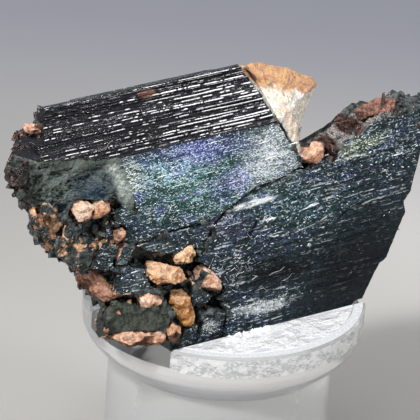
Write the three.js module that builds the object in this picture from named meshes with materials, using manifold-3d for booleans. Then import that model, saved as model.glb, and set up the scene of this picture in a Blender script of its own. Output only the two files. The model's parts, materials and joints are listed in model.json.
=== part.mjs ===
// Vivianite crystal cluster on a clear acrylic stand.
// Millimetres, +Z up. The origin is the centre of the stand's flat base.
// +X runs along the long axis of the crystals, and their broad glittering faces look towards -Y.

import * as THREE from 'three';
import { ConvexGeometry } from 'three/addons/geometries/ConvexGeometry.js';
import { mergeVertices } from 'three/addons/utils/BufferGeometryUtils.js';
import Module from 'manifold-3d';

const wasm = await Module();
wasm.setup();

// ---------------------------------------------------------------- driving dimensions

const GAP = 0.3; // between a piece and the pocket or slot that holds it
const SMOOTHING = 0.06; // ripples lower than this are smoothed away
const SLIVER_AREA = 1e-5;
const TOUCH_RELIEF = 0.02; // between two stretches of surface that would touch at a point

// Stand: a turned rod with a wider head.
const STEM_RADIUS = 11.2;
const STEM_TOP = 14;
const HEAD_RADIUS = 14.1;
const HEAD_BOTTOM = 18;
const HEAD_TOP = 20.2;
const BASE_CHAMFER = 0.3;
const RIM_CHAMFER = 0.25;
const STAND_SIDES = 56;

// Both crystals stand on edge, with their broad front faces almost in one plane.
const FRONT = -7.4;
const UPPER_STANDS_PROUD = 0.2; // of the upper crystal over the lower one

// Upper crystal: a prism along X with a furrowed sloping roof.
const EAVE_HEIGHT = 42.3;
const ROOF_SLOPE = 0.62;
const APEX = { y: -1.5, z: EAVE_HEIGHT + ROOF_SLOPE * 5.9 };
const UPPER_BACK = 4.0;
const UPPER_LEFT = -30;
const UPPER_RIGHT = 2.7;

// Lower crystal: a thick slab behind and below the upper one.
const LOWER_BACK = 3.0;
const KEEL_DEPTH = 1.6; // how far its bottom edge reaches down into the stand's slot
const KEEL_LEFT = -10;
const KEEL_RIGHT = 10.8;

// ---------------------------------------------------------------- tools

function seededRandom(seed) {
  let state = seed;
  return () => {
    state = (state + 0x6d2b79f5) | 0;
    let t = Math.imul(state ^ (state >>> 15), 1 | state);
    t = (t + Math.imul(t ^ (t >>> 7), 61 | t)) ^ t;
    return ((t ^ (t >>> 14)) >>> 0) / 4294967296;
  };
}

const vec = (x, y, z) => new THREE.Vector3(x, y, z);

function solidFrom(geometry) {
  const bare = geometry.clone();
  bare.deleteAttribute('normal');
  bare.deleteAttribute('uv');
  const merged = mergeVertices(bare, 1e-4);
  const mesh = new wasm.Mesh({
    numProp: 3,
    vertProperties: new Float32Array(merged.attributes.position.array),
    triVerts: new Uint32Array(merged.index.array),
  });
  return new wasm.Manifold(mesh);
}

// The largest closed shell of a solid: loose chips and sealed hollows are dropped.
function largestShell(solid) {
  const { vertProperties, triVerts } = solid.getMesh();
  const points = [];
  for (let i = 0; i < vertProperties.length; i += 3) points.push(vec(...vertProperties.subarray(i, i + 3)));
  const parent = points.map((_, i) => i);
  const root = (i) => {
    while (parent[i] !== i) {
      parent[i] = parent[parent[i]];
      i = parent[i];
    }
    return i;
  };
  const faces = [];
  for (let t = 0; t < triVerts.length; t += 3) faces.push([...triVerts.subarray(t, t + 3)]);
  for (const [a, b, c] of faces) {
    parent[root(b)] = root(a);
    parent[root(c)] = root(a);
  }
  const counts = new Map();
  for (const [a] of faces) counts.set(root(a), (counts.get(root(a)) ?? 0) + 1);
  const biggest = [...counts].sort((one, other) => other[1] - one[1])[0][0];
  return { points, faces: faces.filter(([a]) => root(a) === biggest) };
}

// Draws the ends of an edge together where the surface stays within the tolerance of its old faces.
// An edge is left alone if closing it would fold a face over or pinch the surface.
function simplified({ points, faces }, tolerance) {
  const normalOf = ([a, b, c]) => {
    const side = points[b].clone().sub(points[a]);
    return side.cross(points[c].clone().sub(points[a]));
  };
  const around = points.map(() => new Set());
  const planes = points.map(() => []);
  faces.forEach((face, i) => {
    const normal = normalOf(face);
    const area = normal.length() / 2;
    const plane = new THREE.Plane().setFromNormalAndCoplanarPoint(normal.normalize(), points[face[0]]);
    for (const corner of face) {
      around[corner].add(i);
      if (area > SLIVER_AREA) planes[corner].push(plane);
    }
  });
  const neighbours = (corner) => {
    const found = new Set();
    for (const i of around[corner]) for (const other of faces[i]) found.add(other);
    found.delete(corner);
    return found;
  };
  const mayClose = (from, to) => {
    const near = neighbours(to);
    const shared = [...neighbours(from)].filter((corner) => near.has(corner));
    if (shared.length !== 2) return false;
    if (planes[from].some((plane) => Math.abs(plane.distanceToPoint(points[to])) > tolerance)) return false;
    for (const i of around[from]) {
      if (faces[i].includes(to)) continue;
      const before = normalOf(faces[i]);
      const after = normalOf(faces[i].map((corner) => (corner === from ? to : corner)));
      if (after.dot(before) < 0.35 * after.length() * before.length()) return false;
    }
    return true;
  };
  const close = (from, to) => {
    for (const i of [...around[from]]) {
      if (faces[i].includes(to)) {
        faces[i].forEach((corner) => around[corner].delete(i));
        faces[i] = null;
      } else {
        faces[i] = faces[i].map((corner) => (corner === from ? to : corner));
        around[to].add(i);
      }
    }
    around[from].clear();
    planes[to] = [...new Set([...planes[to], ...planes[from]])];
  };
  for (let closed = 1; closed > 0; ) {
    closed = 0;
    const edges = [];
    for (const face of faces) {
      if (!face) continue;
      face.forEach((a, k) => {
        const b = face[(k + 1) % 3];
        if (a < b) edges.push([points[a].distanceTo(points[b]), a, b]);
      });
    }
    for (const [, a, b] of edges.sort((one, other) => one[0] - other[0])) {
      if (!around[a].size || !around[b].size || !neighbours(a).has(b)) continue;
      if (mayClose(b, a)) close(b, a);
      else if (mayClose(a, b)) close(a, b);
      else continue;
      closed += 1;
    }
  }
  return { points, faces: faces.filter((face) => face) };
}

// Where the surface touches itself at a point, the points are drawn a hair into the solid.
function parted({ points, faces }) {
  const inward = points.map(() => vec(0, 0, 0));
  for (const [a, b, c] of faces) {
    const normal = points[b].clone().sub(points[a]).cross(points[c].clone().sub(points[a])).normalize();
    for (const corner of [a, b, c]) inward[corner].sub(normal);
  }
  const places = new Map();
  for (const corner of new Set(faces.flat())) {
    const key = points[corner].toArray().map((value) => value.toFixed(3)).join();
    places.set(key, [...(places.get(key) ?? []), corner]);
  }
  for (const corners of places.values()) {
    if (corners.length < 2) continue;
    corners.forEach((corner, k) => {
      points[corner].addScaledVector(inward[corner].normalize(), TOUCH_RELIEF * k);
    });
  }
  return { points, faces };
}

function finished(solid) {
  const { points, faces } = parted(simplified(largestShell(solid), SMOOTHING));
  return new THREE.BufferGeometry().setFromPoints(points).setIndex(faces.flat());
}

const hull = (points) => solidFrom(new ConvexGeometry(points));

// A prism along X with its outline given in (y, z).
function prismAlongX(outline, x0, x1) {
  const shape = new THREE.Shape(outline.map(([y, z]) => new THREE.Vector2(y, z)));
  const geometry = new THREE.ExtrudeGeometry(shape, { depth: x1 - x0, bevelEnabled: false });
  const turn = new THREE.Matrix4().makeBasis(vec(0, 1, 0), vec(0, 0, 1), vec(1, 0, 0));
  return solidFrom(geometry.applyMatrix4(turn).translate(x0, 0, 0));
}

// A prism along Y with its outline given in (x, z).
function prismAlongY(outline, y0, y1) {
  const shape = new THREE.Shape(outline.map(([x, z]) => new THREE.Vector2(x, z)));
  const geometry = new THREE.ExtrudeGeometry(shape, { depth: y1 - y0, bevelEnabled: false });
  const turn = new THREE.Matrix4().makeBasis(vec(1, 0, 0), vec(0, 0, 1), vec(0, -1, 0));
  return solidFrom(geometry.applyMatrix4(turn).translate(0, y1, 0));
}

// A prism along Z with its outline given in (x, y).
function prismAlongZ(outline, z0, z1) {
  const shape = new THREE.Shape(outline.map(([x, y]) => new THREE.Vector2(x, y)));
  const geometry = new THREE.ExtrudeGeometry(shape, { depth: z1 - z0, bevelEnabled: false });
  return solidFrom(geometry.translate(0, 0, z0));
}

// Everything on the outer side of a plane.
function outside(point, outward) {
  const size = 120;
  const block = new THREE.BoxGeometry(size, size, size).translate(0, 0, size / 2);
  const turn = new THREE.Quaternion().setFromUnitVectors(vec(0, 0, 1), outward.clone().normalize());
  return solidFrom(block.applyQuaternion(turn).translate(...point));
}

const cleave = (solid, point, outward) => solid.subtract(outside(point, outward));

// An angular fragment: a turned block whose corners are chipped unevenly.
function shard(centre, size, turn, seed) {
  const random = seededRandom(seed);
  const pose = new THREE.Matrix4().compose(
    vec(...centre),
    new THREE.Quaternion().setFromEuler(new THREE.Euler(...turn.map(THREE.MathUtils.degToRad))),
    vec(1, 1, 1),
  );
  const points = [];
  for (const sx of [-1, 1]) {
    for (const sy of [-1, 1]) {
      for (const sz of [-1, 1]) {
        const corner = [sx, sy, sz].map((side, axis) => (side * size[axis]) / 2);
        const chipped = Math.floor(random() * 3);
        for (let axis = 0; axis < 3; axis++) {
          if (axis === chipped && random() < 0.4) continue;
          const point = corner.map((value, i) => value * (1 - random() * (i === axis ? 0.5 : 0.12)));
          points.push(vec(...point).applyMatrix4(pose));
        }
      }
    }
  }
  return hull(points);
}

// Sine waves through space in random directions; their sum makes a surface uneven.
function randomWaves(random, count, coarsest, range) {
  return Array.from({ length: count }, () => {
    const along = vec(random() - 0.5, random() - 0.5, random() - 0.5).normalize();
    along.multiplyScalar(coarsest + range * random());
    return { along, phase: random() * Math.PI * 2 };
  });
}

function swellAt(waves, point) {
  return waves.reduce((sum, wave) => sum + Math.sin(point.dot(wave.along) + wave.phase), 0);
}

// A rounded earthy lump: a ball stretched to size, turned, and pushed in and out unevenly.
// grow widens it all round, which gives the pocket that it sits in.
function lumpGeometry({ centre, size, turn = [0, 0, 0], seed, detail = 2, rough = 0.24 }, grow = 0) {
  const random = seededRandom(seed);
  const waves = randomWaves(random, 7, 2, 5);
  const geometry = new THREE.IcosahedronGeometry(1, detail);
  const position = geometry.attributes.position;
  const point = vec(0, 0, 0);
  for (let i = 0; i < position.count; i++) {
    point.fromBufferAttribute(position, i);
    const swell = swellAt(waves, point);
    const boxy = 1 / Math.pow(Math.abs(point.x) ** 4 + Math.abs(point.y) ** 4 + Math.abs(point.z) ** 4, 0.16);
    const reach = boxy * (1 + (rough * swell) / 3);
    point.multiply(vec(...size).multiplyScalar(reach / 2));
    point.addScaledVector(point.clone().normalize(), grow);
    position.setXYZ(i, point.x, point.y, point.z);
  }
  geometry.applyQuaternion(
    new THREE.Quaternion().setFromEuler(new THREE.Euler(...turn.map(THREE.MathUtils.degToRad))),
  );
  return geometry.translate(...centre);
}

// Splits every triangle in four, the given number of times.
function subdivided(geometry, times) {
  let points = geometry;
  for (let round = 0; round < times; round++) {
    const source = points.attributes.position;
    const next = [];
    for (let i = 0; i < source.count; i += 3) {
      const [a, b, c] = [0, 1, 2].map((k) => vec(0, 0, 0).fromBufferAttribute(source, i + k));
      const ab = a.clone().lerp(b, 0.5);
      const bc = b.clone().lerp(c, 0.5);
      const ca = c.clone().lerp(a, 0.5);
      next.push(a, ab, ca, ab, b, bc, ca, bc, c, ab, bc, ca);
    }
    points = new THREE.BufferGeometry().setFromPoints(next);
  }
  return points;
}

// A craggy lump with flat sides: the hull of its corners, with its surface pushed in and out.
// grow moves the corners outwards, which gives the pocket that it sits in.
function cragGeometry(corners, rough, seed, grow = 0) {
  const random = seededRandom(seed);
  const middle = corners.reduce((sum, corner) => sum.add(corner), vec(0, 0, 0)).divideScalar(corners.length);
  const waves = randomWaves(random, 9, 0.8, 2.4);
  const geometry = subdivided(new ConvexGeometry(corners), 2);
  const position = geometry.attributes.position;
  const point = vec(0, 0, 0);
  for (let i = 0; i < position.count; i++) {
    point.fromBufferAttribute(position, i);
    const swell = swellAt(waves, point);
    const out = point.clone().sub(middle).normalize();
    point.addScaledVector(out, (rough * swell) / 3 + grow);
    position.setXYZ(i, point.x, point.y, point.z);
  }
  return geometry;
}

// A V-shaped crack cut into the front faces along a line of (x, z) points.
function crack(line, width, depth) {
  const front = FRONT - 1;
  let groove = null;
  for (let i = 0; i + 1 < line.length; i++) {
    const [xa, za] = line[i];
    const [xb, zb] = line[i + 1];
    const length = Math.hypot(xb - xa, zb - za);
    const side = vec(-(zb - za) / length, 0, (xb - xa) / length).multiplyScalar(width);
    const piece = hull([
      vec(xa, front, za).add(side),
      vec(xa, front, za).sub(side),
      vec(xb, front, zb).add(side),
      vec(xb, front, zb).sub(side),
      vec(xa, FRONT + depth, za),
      vec(xb, FRONT + depth, zb),
    ]);
    groove = groove ? groove.add(piece) : piece;
  }
  return groove;
}

// ---------------------------------------------------------------- upper crystal

// A narrow raised rib along X on a sloping face. foot is the (y, z) where the slope is 0, up is the
// face's direction away from there and out its outward direction, both in the YZ plane.
function rib({ foot, up, out }, x0, x1, slope, width, height) {
  const at = (x, s, h) => vec(x, foot[0] + up[0] * s + out[0] * h, foot[1] + up[1] * s + out[1] * h);
  const taper = Math.min(1.2, (x1 - x0) / 4);
  const points = [];
  for (const [s, h] of [[-0.5, -0.3], [-0.34, 1], [0.1, 0.85], [0.5, -0.3]]) {
    points.push(at(x0 + (h > 0 ? taper : 0), slope + s * width, h * height));
    points.push(at(x1 - (h > 0 ? taper * 0.5 : 0), slope + s * width, h * height));
  }
  return hull(points);
}

// How far one goes along the front roof for every mm of depth.
const ROOF_STRETCH = Math.hypot(1, ROOF_SLOPE);
const FRONT_ROOF = {
  foot: [FRONT - UPPER_STANDS_PROUD, EAVE_HEIGHT],
  up: [1 / ROOF_STRETCH, ROOF_SLOPE / ROOF_STRETCH],
  out: [-ROOF_SLOPE / ROOF_STRETCH, 1 / ROOF_STRETCH],
};
const BACK_SHOULDER = [2.4, 43.1];
const BACK_ROOF = { foot: BACK_SHOULDER, up: [-0.77, 0.64], out: [0.64, 0.77] };

function roofRibs() {
  const random = seededRandom(41);
  const roofWidth = (APEX.y - FRONT) * ROOF_STRETCH;
  const rows = 15;
  const ribs = [];
  for (let row = 0; row < rows; row++) {
    const slope = ((row + 0.5) / rows) * roofWidth;
    const leftEnd = -27.6 + (row / rows) * 4.2;
    let x = leftEnd + random() * 1.5;
    while (x < UPPER_RIGHT - 4) {
      const end = Math.min(x + 5 + random() * 16, UPPER_RIGHT + 1);
      const width = (roofWidth / rows) * (0.85 + random() * 0.5);
      ribs.push(rib(FRONT_ROOF, x, end, slope, width, 0.1 + random() * 0.22));
      x = end - 0.3 + random() * 1.2;
    }
  }
  for (let row = 0; row < 6; row++) {
    const x = -22 + random() * 3;
    const end = UPPER_RIGHT - 4 - random() * 8;
    ribs.push(rib(BACK_ROOF, x, end, 0.2 + row * 0.7, 0.6 + random() * 0.5, 0.12 + random() * 0.25));
  }
  return ribs;
}

// Low terraces on a back face at y, within an (x, z) window; they run along X and end in slanted steps.
function terraces(y, [x0, x1], [z0, z1], count, seed) {
  const random = seededRandom(seed);
  const steps = [];
  for (let i = 0; i < count; i++) {
    const low = z0 + ((z1 - z0) * i) / count;
    const high = Math.min(z1, low + ((z1 - z0) / count) * (0.8 + random() * 1.3));
    const left = x0 + random() * (x1 - x0) * 0.35;
    const right = x1 - random() * (x1 - x0) * 0.35;
    const slant = (random() - 0.3) * 1.6;
    const proud = 0.2 + random() * 0.5;
    const points = [];
    for (const [depth, inset] of [[-0.4, 0], [proud, 0.25]]) {
      points.push(vec(left + inset, y + depth, low + inset / 2));
      points.push(vec(right - inset, y + depth, low + inset / 2));
      points.push(vec(left + slant + inset, y + depth, high - inset));
      points.push(vec(right + slant - inset, y + depth, high - inset));
    }
    steps.push(hull(points));
  }
  return steps;
}

function upperCrystal() {
  const front = FRONT - UPPER_STANDS_PROUD;
  const section = [
    [front, 26.5],
    [UPPER_BACK, 26.5],
    [UPPER_BACK, 40.4],
    BACK_SHOULDER,
    [APEX.y + 0.5, APEX.z - 0.1],
    [APEX.y, APEX.z],
    [front, EAVE_HEIGHT],
  ];
  let body = prismAlongX(section, UPPER_LEFT, UPPER_RIGHT + 1.5);
  for (const raised of [...roofRibs(), ...terraces(UPPER_BACK, [-21, -1], [33.5, 40], 6, 91)]) {
    body = body.add(raised);
  }

  // The left end narrows to a blunt point, so that the roof's upper edge starts further right.
  const plan = [
    [UPPER_RIGHT + 2, front - 1],
    [UPPER_RIGHT + 2, UPPER_BACK + 1],
    [-20.5, UPPER_BACK + 1],
    [-21.5, 2.5],
    [-24.2, -1.6],
    [-27.1, -3.3],
    [-29.3, -4.9],
    [-29.2, -6.1],
    [-27.1, -8],
    [-20, front - 1],
  ];
  body = body.intersect(prismAlongZ(plan, 20, 50));

  // Smooth end facets, broken right end and the slanting lower left side.
  body = cleave(body, [-27.1, -6.3, 43.1], vec(-0.157, -0.986, -0.059));
  body = cleave(body, [-27.1, -6.3, 43.1], vec(-0.5, -0.86, -0.05));
  body = cleave(body, [-0.7, front, EAVE_HEIGHT], vec(0.8, -0.24, 0.53));
  body = cleave(body, [-27.4, -4, 38.6], vec(-0.8, 0, -0.6));

  // It ends below at the seam where the lower crystal starts.
  const aboveSeam = [
    [-31, 50],
    [-31, 36.5],
    [-22, 29],
    ...SEAM,
    [6, 36.9],
    [6, 50],
  ];
  return body.intersect(prismAlongY(aboveSeam, -12, 8));
}

// ---------------------------------------------------------------- lower crystal

// The seam between the crystals, seen from the front, as (x, z) points.
const SEAM = [
  [-16.4, 32.5],
  [-14.1, 32.6],
  [-12.2, 33.1],
  [-9.9, 33],
  [-7.7, 33.2],
  [-5.9, 33.9],
  [-3.5, 35.1],
  [-0.5, 35.7],
  [2.6, 36.7],
];

const RIGHT_EDGE = [
  [11.6, 20.4],
  [13.4, 23.9],
  [14.2, 24.4],
  [16.1, 28.9],
  [15.8, 30.2],
  [16.5, 31.1],
  [17.3, 34.9],
  [18.7, 40],
];

const TOP_EDGE = [
  [16.8, 40.1],
  [14.6, 39.6],
  [13, 39.9],
  [11.1, 39.7],
  [9.9, 38.9],
  [8, 38.5],
  [6.7, 37.9],
  [4.5, 37],
  [2.6, 36.6],
];

// A long low step on the lower crystal's front face; its lower edge stands proud.
function ledge(x0, z0, length, degrees, width, proud) {
  const angle = THREE.MathUtils.degToRad(degrees);
  const along = vec(Math.cos(angle), 0, Math.sin(angle));
  const start = vec(x0, FRONT, z0);
  const end = start.clone().addScaledVector(along, length);
  const out = vec(0, -proud, 0);
  const inward = vec(0, 0.4, 0);
  const rise = vec(0, 0, width);
  const points = [start.clone().add(inward), end.clone().add(inward)];
  points.push(start.clone().add(rise).add(inward), end.clone().add(rise).add(inward));
  for (const [from, share] of [[start, 0.6], [end, -0.6]]) {
    points.push(from.clone().addScaledVector(along, share).add(out));
    points.push(from.clone().addScaledVector(along, share * 2).addScaledVector(rise, 0.3).add(out));
  }
  return hull(points);
}

function ledges() {
  const random = seededRandom(77);
  const steps = [];
  for (let row = 0; row < 15; row++) {
    const height = 22.2 + row;
    const tilt = THREE.MathUtils.mapLinear(height, 22, 37, 0.5, 7);
    const firstX = Math.max(-6, (height - 33) * 2 - 2);
    const lastX = 10.5 + (height - 20) * 0.38;
    let x = firstX + random() * 3;
    while (x < lastX - 3) {
      const length = Math.min(3 + random() * 9, lastX - x);
      const z = height + (x - firstX) * Math.tan(THREE.MathUtils.degToRad(tilt)) * 0.6 + random() * 0.4;
      if (z < 38) steps.push(ledge(x, z, length, tilt, 0.35 + random() * 0.6, 0.1 + random() * 0.16));
      x += length + random() * 3;
    }
  }
  return steps;
}

function lowerCrystal() {
  const outline = [
    [-10.8, 20.2],
    [-7.3, 19.8],
    [8, 19.9],
    ...RIGHT_EDGE,
    ...TOP_EDGE,
    [0, 37],
    [-6, 35],
    [-16, 34.6],
    [-19.6, 33],
    [-20, 30],
    [-18.6, 26.6],
    [-15.5, 23],
  ];
  let body = prismAlongY(outline, FRONT, -1);

  // The right end is a stack of thin sheets that end unevenly.
  const random = seededRandom(93);
  const spacing = 0.9;
  for (let y = FRONT + spacing; y < 0; y += spacing) {
    const reach = random() * 0.8 - 0.2;
    const sheet = RIGHT_EDGE.map(([x, z]) => [x + reach, z]);
    const inner = [...RIGHT_EDGE].reverse().map(([x, z]) => [x - 1.5, z - 0.5]);
    body = body.add(prismAlongY([...sheet, ...inner], y, y + spacing / 2));
  }

  // Along its top the slab is broken down towards the back.
  const rightOfNotch = prismAlongX([[-10, 20], [10, 20], [10, 50], [-10, 50]], 2.6, 20);
  const rimSlope = outside([12, -5, 40.3], vec(0, 0.57, 0.82));
  const notchSlope = outside([9, -6.2, 38.7], vec(-0.3, 0.5, 0.81));
  body = body.subtract(rimSlope.add(notchSlope).intersect(rightOfNotch));

  // Behind its front sheet the slab is lower along its broken top and shorter at the right.
  const backOutline = [
    [-9.5, 20.6],
    [11, 20.6],
    [15, 28.6],
    [15.6, 34.2],
    [16.4, 37.6],
    [12.5, 38.3],
    [9.2, 36.4],
    [5.6, 35.6],
    [2, 36],
    [-14, 36],
    [-18.6, 32],
    [-17, 26],
    [-12.5, 22.4],
  ];
  body = body.add(prismAlongY(backOutline, -1.4, LOWER_BACK));
  const keel = [
    [KEEL_LEFT - 0.6, 20.6],
    [KEEL_LEFT, HEAD_TOP - KEEL_DEPTH],
    [KEEL_RIGHT - 1.2, HEAD_TOP - KEEL_DEPTH],
    [KEEL_RIGHT, 20.6],
  ];
  body = body.add(prismAlongY(keel, FRONT, LOWER_BACK - 0.4));
  for (const step of ledges()) body = body.add(step);

  // The back face falls away towards its top and its right end, and is terraced in between.
  body = cleave(body, [4, LOWER_BACK, 33], vec(0.05, 0.93, 0.36));
  body = cleave(body, [12.5, LOWER_BACK, 30], vec(0.42, 0.9, 0.06));
  for (const step of terraces(LOWER_BACK, [-11.5, 11], [21, 32], 8, 92)) body = body.add(step);
  return body;
}

// Broken rim along the lower crystal's top, from the notch to the upper right corner.
function brokenRim() {
  const random = seededRandom(12);
  const chips = [];
  const rim = new THREE.CatmullRomCurve3([
    vec(4, -5.6, 36.3),
    vec(6.6, -5.4, 36.9),
    vec(8.6, -5, 37.5),
    vec(11, -4.8, 38.8),
    vec(14.4, -4.8, 38.9),
    vec(17.4, -5, 38.9),
  ]);
  const count = 22;
  for (let i = 0; i < count; i++) {
    const at = rim.getPoint((i + 0.5) / count);
    const size = [1.2 + random() * 1.7, 1.4 + random() * 1.8, 1.1 + random() * 1.1];
    const turn = [random() * 50 - 25, random() * 60 - 30, random() * 50 - 25];
    const centre = [at.x, at.y + random() * 2.6 - 0.9, at.z + random() * 0.5 - 0.3];
    chips.push(shard(centre, size, turn, 300 + i));
  }
  chips.push(shard([13.9, -5, 40.4], [0.7, 0.8, 2], [8, 6, 20], 340));
  return chips;
}

// ---------------------------------------------------------------- broken lower left part

// The front sheet is broken away here, and angular blocks stand in the hollow.
const HOLLOW_OUTLINE = [
  [-27, 35.6],
  [-23, 36.2],
  [-20.8, 36.6],
  [-19.1, 35.4],
  [-17.4, 33.2],
  [-14.5, 31.4],
  [-12.2, 30.7],
  [-9.2, 29.8],
  [-7, 27.6],
  [-5.9, 25],
  [-5, 22.7],
  [-3.7, 21.4],
  [-3.3, 18],
  [-27, 18],
];
const HOLLOW_DEPTH = 1.5;

const LARGE_FRAGMENTS = [
  { centre: [-15, -6.2, 24], size: [6.8, 3.2, 4], turn: [6, 10, -14], seed: 1 },
  { centre: [-15.2, -6, 28.4], size: [6.2, 3.4, 3], turn: [-4, 9, -6], seed: 2 },
  { centre: [-6.8, -6.4, 21.7], size: [3.1, 2.6, 3], turn: [8, 4, 6], seed: 3 },
  { centre: [-9.6, -6.3, 21.3], size: [2.1, 2.8, 2.1], turn: [10, -6, 12], seed: 4 },
  { centre: [-3.7, -6.6, 21.1], size: [2.3, 2, 2.2], turn: [4, 8, -5], seed: 5 },
  { centre: [-18.6, -6.1, 31.9], size: [3.7, 3, 3.1], turn: [8, 16, -8], seed: 6 },
  { centre: [-21.8, -5.2, 32.6], size: [3.6, 3.4, 3], turn: [5, 34, -16], seed: 7 },
  { centre: [-8.2, -6.4, 26], size: [2.9, 2.8, 3.8], turn: [5, 30, 4], seed: 8 },
  { centre: [-18.9, -6.3, 34.6], size: [2, 2.2, 1.9], turn: [0, 24, 10], seed: 9 },
  { centre: [-23.6, -5, 35], size: [3.2, 3, 2.4], turn: [5, 40, -20], seed: 10 },
  { centre: [-11.2, -5.6, 25.4], size: [3.4, 3, 4], turn: [0, 12, 0], seed: 13 },
  { centre: [-13.4, -4.4, 26.2], size: [6, 4.4, 5], turn: [0, 12, -10], seed: 14 },
  { centre: [-16.2, -1.6, 29.6], size: [5.6, 6, 5.4], turn: [0, 34, -12], seed: 15 },
  { centre: [-13.4, 0.2, 26.6], size: [5.6, 4.6, 5], turn: [4, 24, -8], seed: 16 },
];

// Small fragments along a line of points, up to half the spread away from it.
function strewnFragments(line, count, spread, [smallest, largest], seed) {
  const random = seededRandom(seed);
  const path = new THREE.CatmullRomCurve3(line.map((point) => vec(...point)));
  const chips = [];
  for (let i = 0; i < count; i++) {
    const at = path.getPoint((i + random()) / count);
    const size = [0, 1, 2].map(() => smallest + random() * (largest - smallest));
    const turn = [0, 1, 2].map(() => random() * 90 - 45);
    const centre = [
      at.x + (random() - 0.5) * spread,
      at.y + (random() - 0.5) * spread * 2,
      at.z + (random() - 0.5) * spread,
    ];
    chips.push(shard(centre, size, turn, seed * 100 + i));
  }
  return chips;
}

function fragments() {
  const chips = LARGE_FRAGMENTS.map(({ centre, size, turn, seed }) => shard(centre, size, turn, seed));
  const raggedSide = [[-26.6, -4.6, 38.8], [-24.8, -4.6, 35.8], [-22.6, -4.4, 33], [-20.2, -4.2, 30.6]];
  const brokenEnd = [[-23.6, -1.7, 44.9], [-26.2, -3.4, 44], [-28, -4.8, 42.6], [-27.9, -4.6, 40]];
  const backSide = [[-22, 0.4, 41.6], [-21.4, 0.6, 37], [-17.6, 1.4, 32], [-12.8, 1.8, 27.4]];
  chips.push(...strewnFragments(raggedSide, 22, 1.1, [1, 2.3], 21));
  chips.push(...strewnFragments(brokenEnd, 20, 0.8, [0.9, 2], 22));
  chips.push(...strewnFragments(backSide, 28, 1.8, [1.6, 3.6], 23));
  return chips;
}

// ---------------------------------------------------------------- clay

// Lumps of iron-stained clay, each in its own pocket.
const CLAY = {
  facet_clay_left: { centre: [-21.8, -6.8, 36.9], size: [2.6, 2.2, 2.1], turn: [0, 20, 0], seed: 51 },
  facet_clay_right: { centre: [-19.4, -7, 36.9], size: [2.4, 1.8, 1.6], turn: [0, -10, 0], seed: 52, detail: 1 },
  crevice_clay: { centre: [-18.2, -7.1, 33.9], size: [1.3, 1.6, 1.6], turn: [0, 35, 0], seed: 53, detail: 1 },
  left_seam_clay: { centre: [-25, -5.2, 36.6], size: [1.9, 2.4, 4.4], turn: [0, -34, 0], seed: 54 },
  middle_clay: { centre: [-12.6, -7.3, 28.6], size: [4.5, 2.4, 2.4], turn: [0, 14, 0], seed: 55 },
  cap_clay: { centre: [-10.3, -7.2, 29.7], size: [2.2, 1.8, 1.8], turn: [0, -20, 0], seed: 64, detail: 1 },
  crack_clay: { centre: [-7.4, -7.1, 26.6], size: [4.4, 1.7, 1.5], turn: [0, 50, 0], seed: 56 },
  upright_clay: { centre: [-10.2, -7.5, 24.6], size: [1.9, 2.2, 4.6], turn: [0, -24, 0], seed: 57 },
  seam_clay: { centre: [-14, -7.3, 26.2], size: [4.4, 1.6, 1.1], turn: [0, 14, 0], seed: 58, detail: 1 },
  bottom_clay_slab: { centre: [-14.4, -7, 22], size: [7.6, 2.6, 1.8], turn: [0, 7, 0], seed: 59 },
  bottom_clay_lump: { centre: [-11.6, -7.6, 22], size: [2.6, 2, 2], turn: [0, -20, 0], seed: 65, detail: 1 },
  side_clay_plate: { centre: [-18.4, -4.6, 27.4], size: [1.9, 3.4, 5.8], turn: [0, -50, 0], seed: 60 },
  notch_clay: { centre: [3.7, -6.4, 37.1], size: [2.6, 2.4, 1.7], turn: [0, -10, 0], seed: 61, detail: 1 },
  ridge_clay: { centre: [12.4, -4.8, 39.7], size: [4.8, 2.6, 1.6], turn: [0, -8, 0], seed: 62 },
  end_spot_clay: { centre: [-25.6, -2.9, 44.8], size: [2.4, 1.8, 1.4], turn: [30, 20, 30], seed: 63, detail: 1 },
};

// The large wedge of clay that caps the upper crystal's broken right end.
const WEDGE_ROUGHNESS = 0.3;
const WEDGE_CORNERS = [
  vec(-0.5, -1.5, 46),
  vec(-0.3, -7.2, 42.5),
  vec(2.8, -7.2, 37.6),
  vec(8.6, -1.5, 42.2),
  vec(8.5, -1.7, 40.6),
  vec(7.2, -2, 36.2),
  vec(4.6, -1.5, 44.6),
  vec(7.6, 2.2, 40.8),
  vec(5.6, 2.6, 36.6),
  vec(0.4, 2.4, 43.4),
];

// ---------------------------------------------------------------- stand

function standSolid() {
  const flare = (t) => STEM_RADIUS + (HEAD_RADIUS - STEM_RADIUS) * Math.sin((t * Math.PI) / 2);
  const profile = [new THREE.Vector2(0, 0)];
  profile.push(new THREE.Vector2(STEM_RADIUS - BASE_CHAMFER, 0));
  profile.push(new THREE.Vector2(STEM_RADIUS, BASE_CHAMFER));
  const steps = 5;
  for (let i = 0; i <= steps; i++) {
    profile.push(new THREE.Vector2(flare(i / steps), STEM_TOP + ((HEAD_BOTTOM - STEM_TOP) * i) / steps));
  }
  profile.push(new THREE.Vector2(HEAD_RADIUS, HEAD_TOP - RIM_CHAMFER));
  profile.push(new THREE.Vector2(HEAD_RADIUS - RIM_CHAMFER, HEAD_TOP));
  profile.push(new THREE.Vector2(0, HEAD_TOP));
  const turned = new THREE.LatheGeometry(profile, STAND_SIDES);
  return solidFrom(turned.rotateX(Math.PI / 2));
}

// The slot through the head in which the lower crystal's bottom edge stands.
function slot() {
  const y0 = FRONT - UPPER_STANDS_PROUD - GAP;
  const y1 = LOWER_BACK - 0.4 + GAP;
  const depth = KEEL_DEPTH + GAP;
  const box = new THREE.BoxGeometry(4 * HEAD_RADIUS, y1 - y0, 2 * depth);
  return solidFrom(box.translate(0, (y0 + y1) / 2, HEAD_TOP));
}

// ---------------------------------------------------------------- assembly

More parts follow.
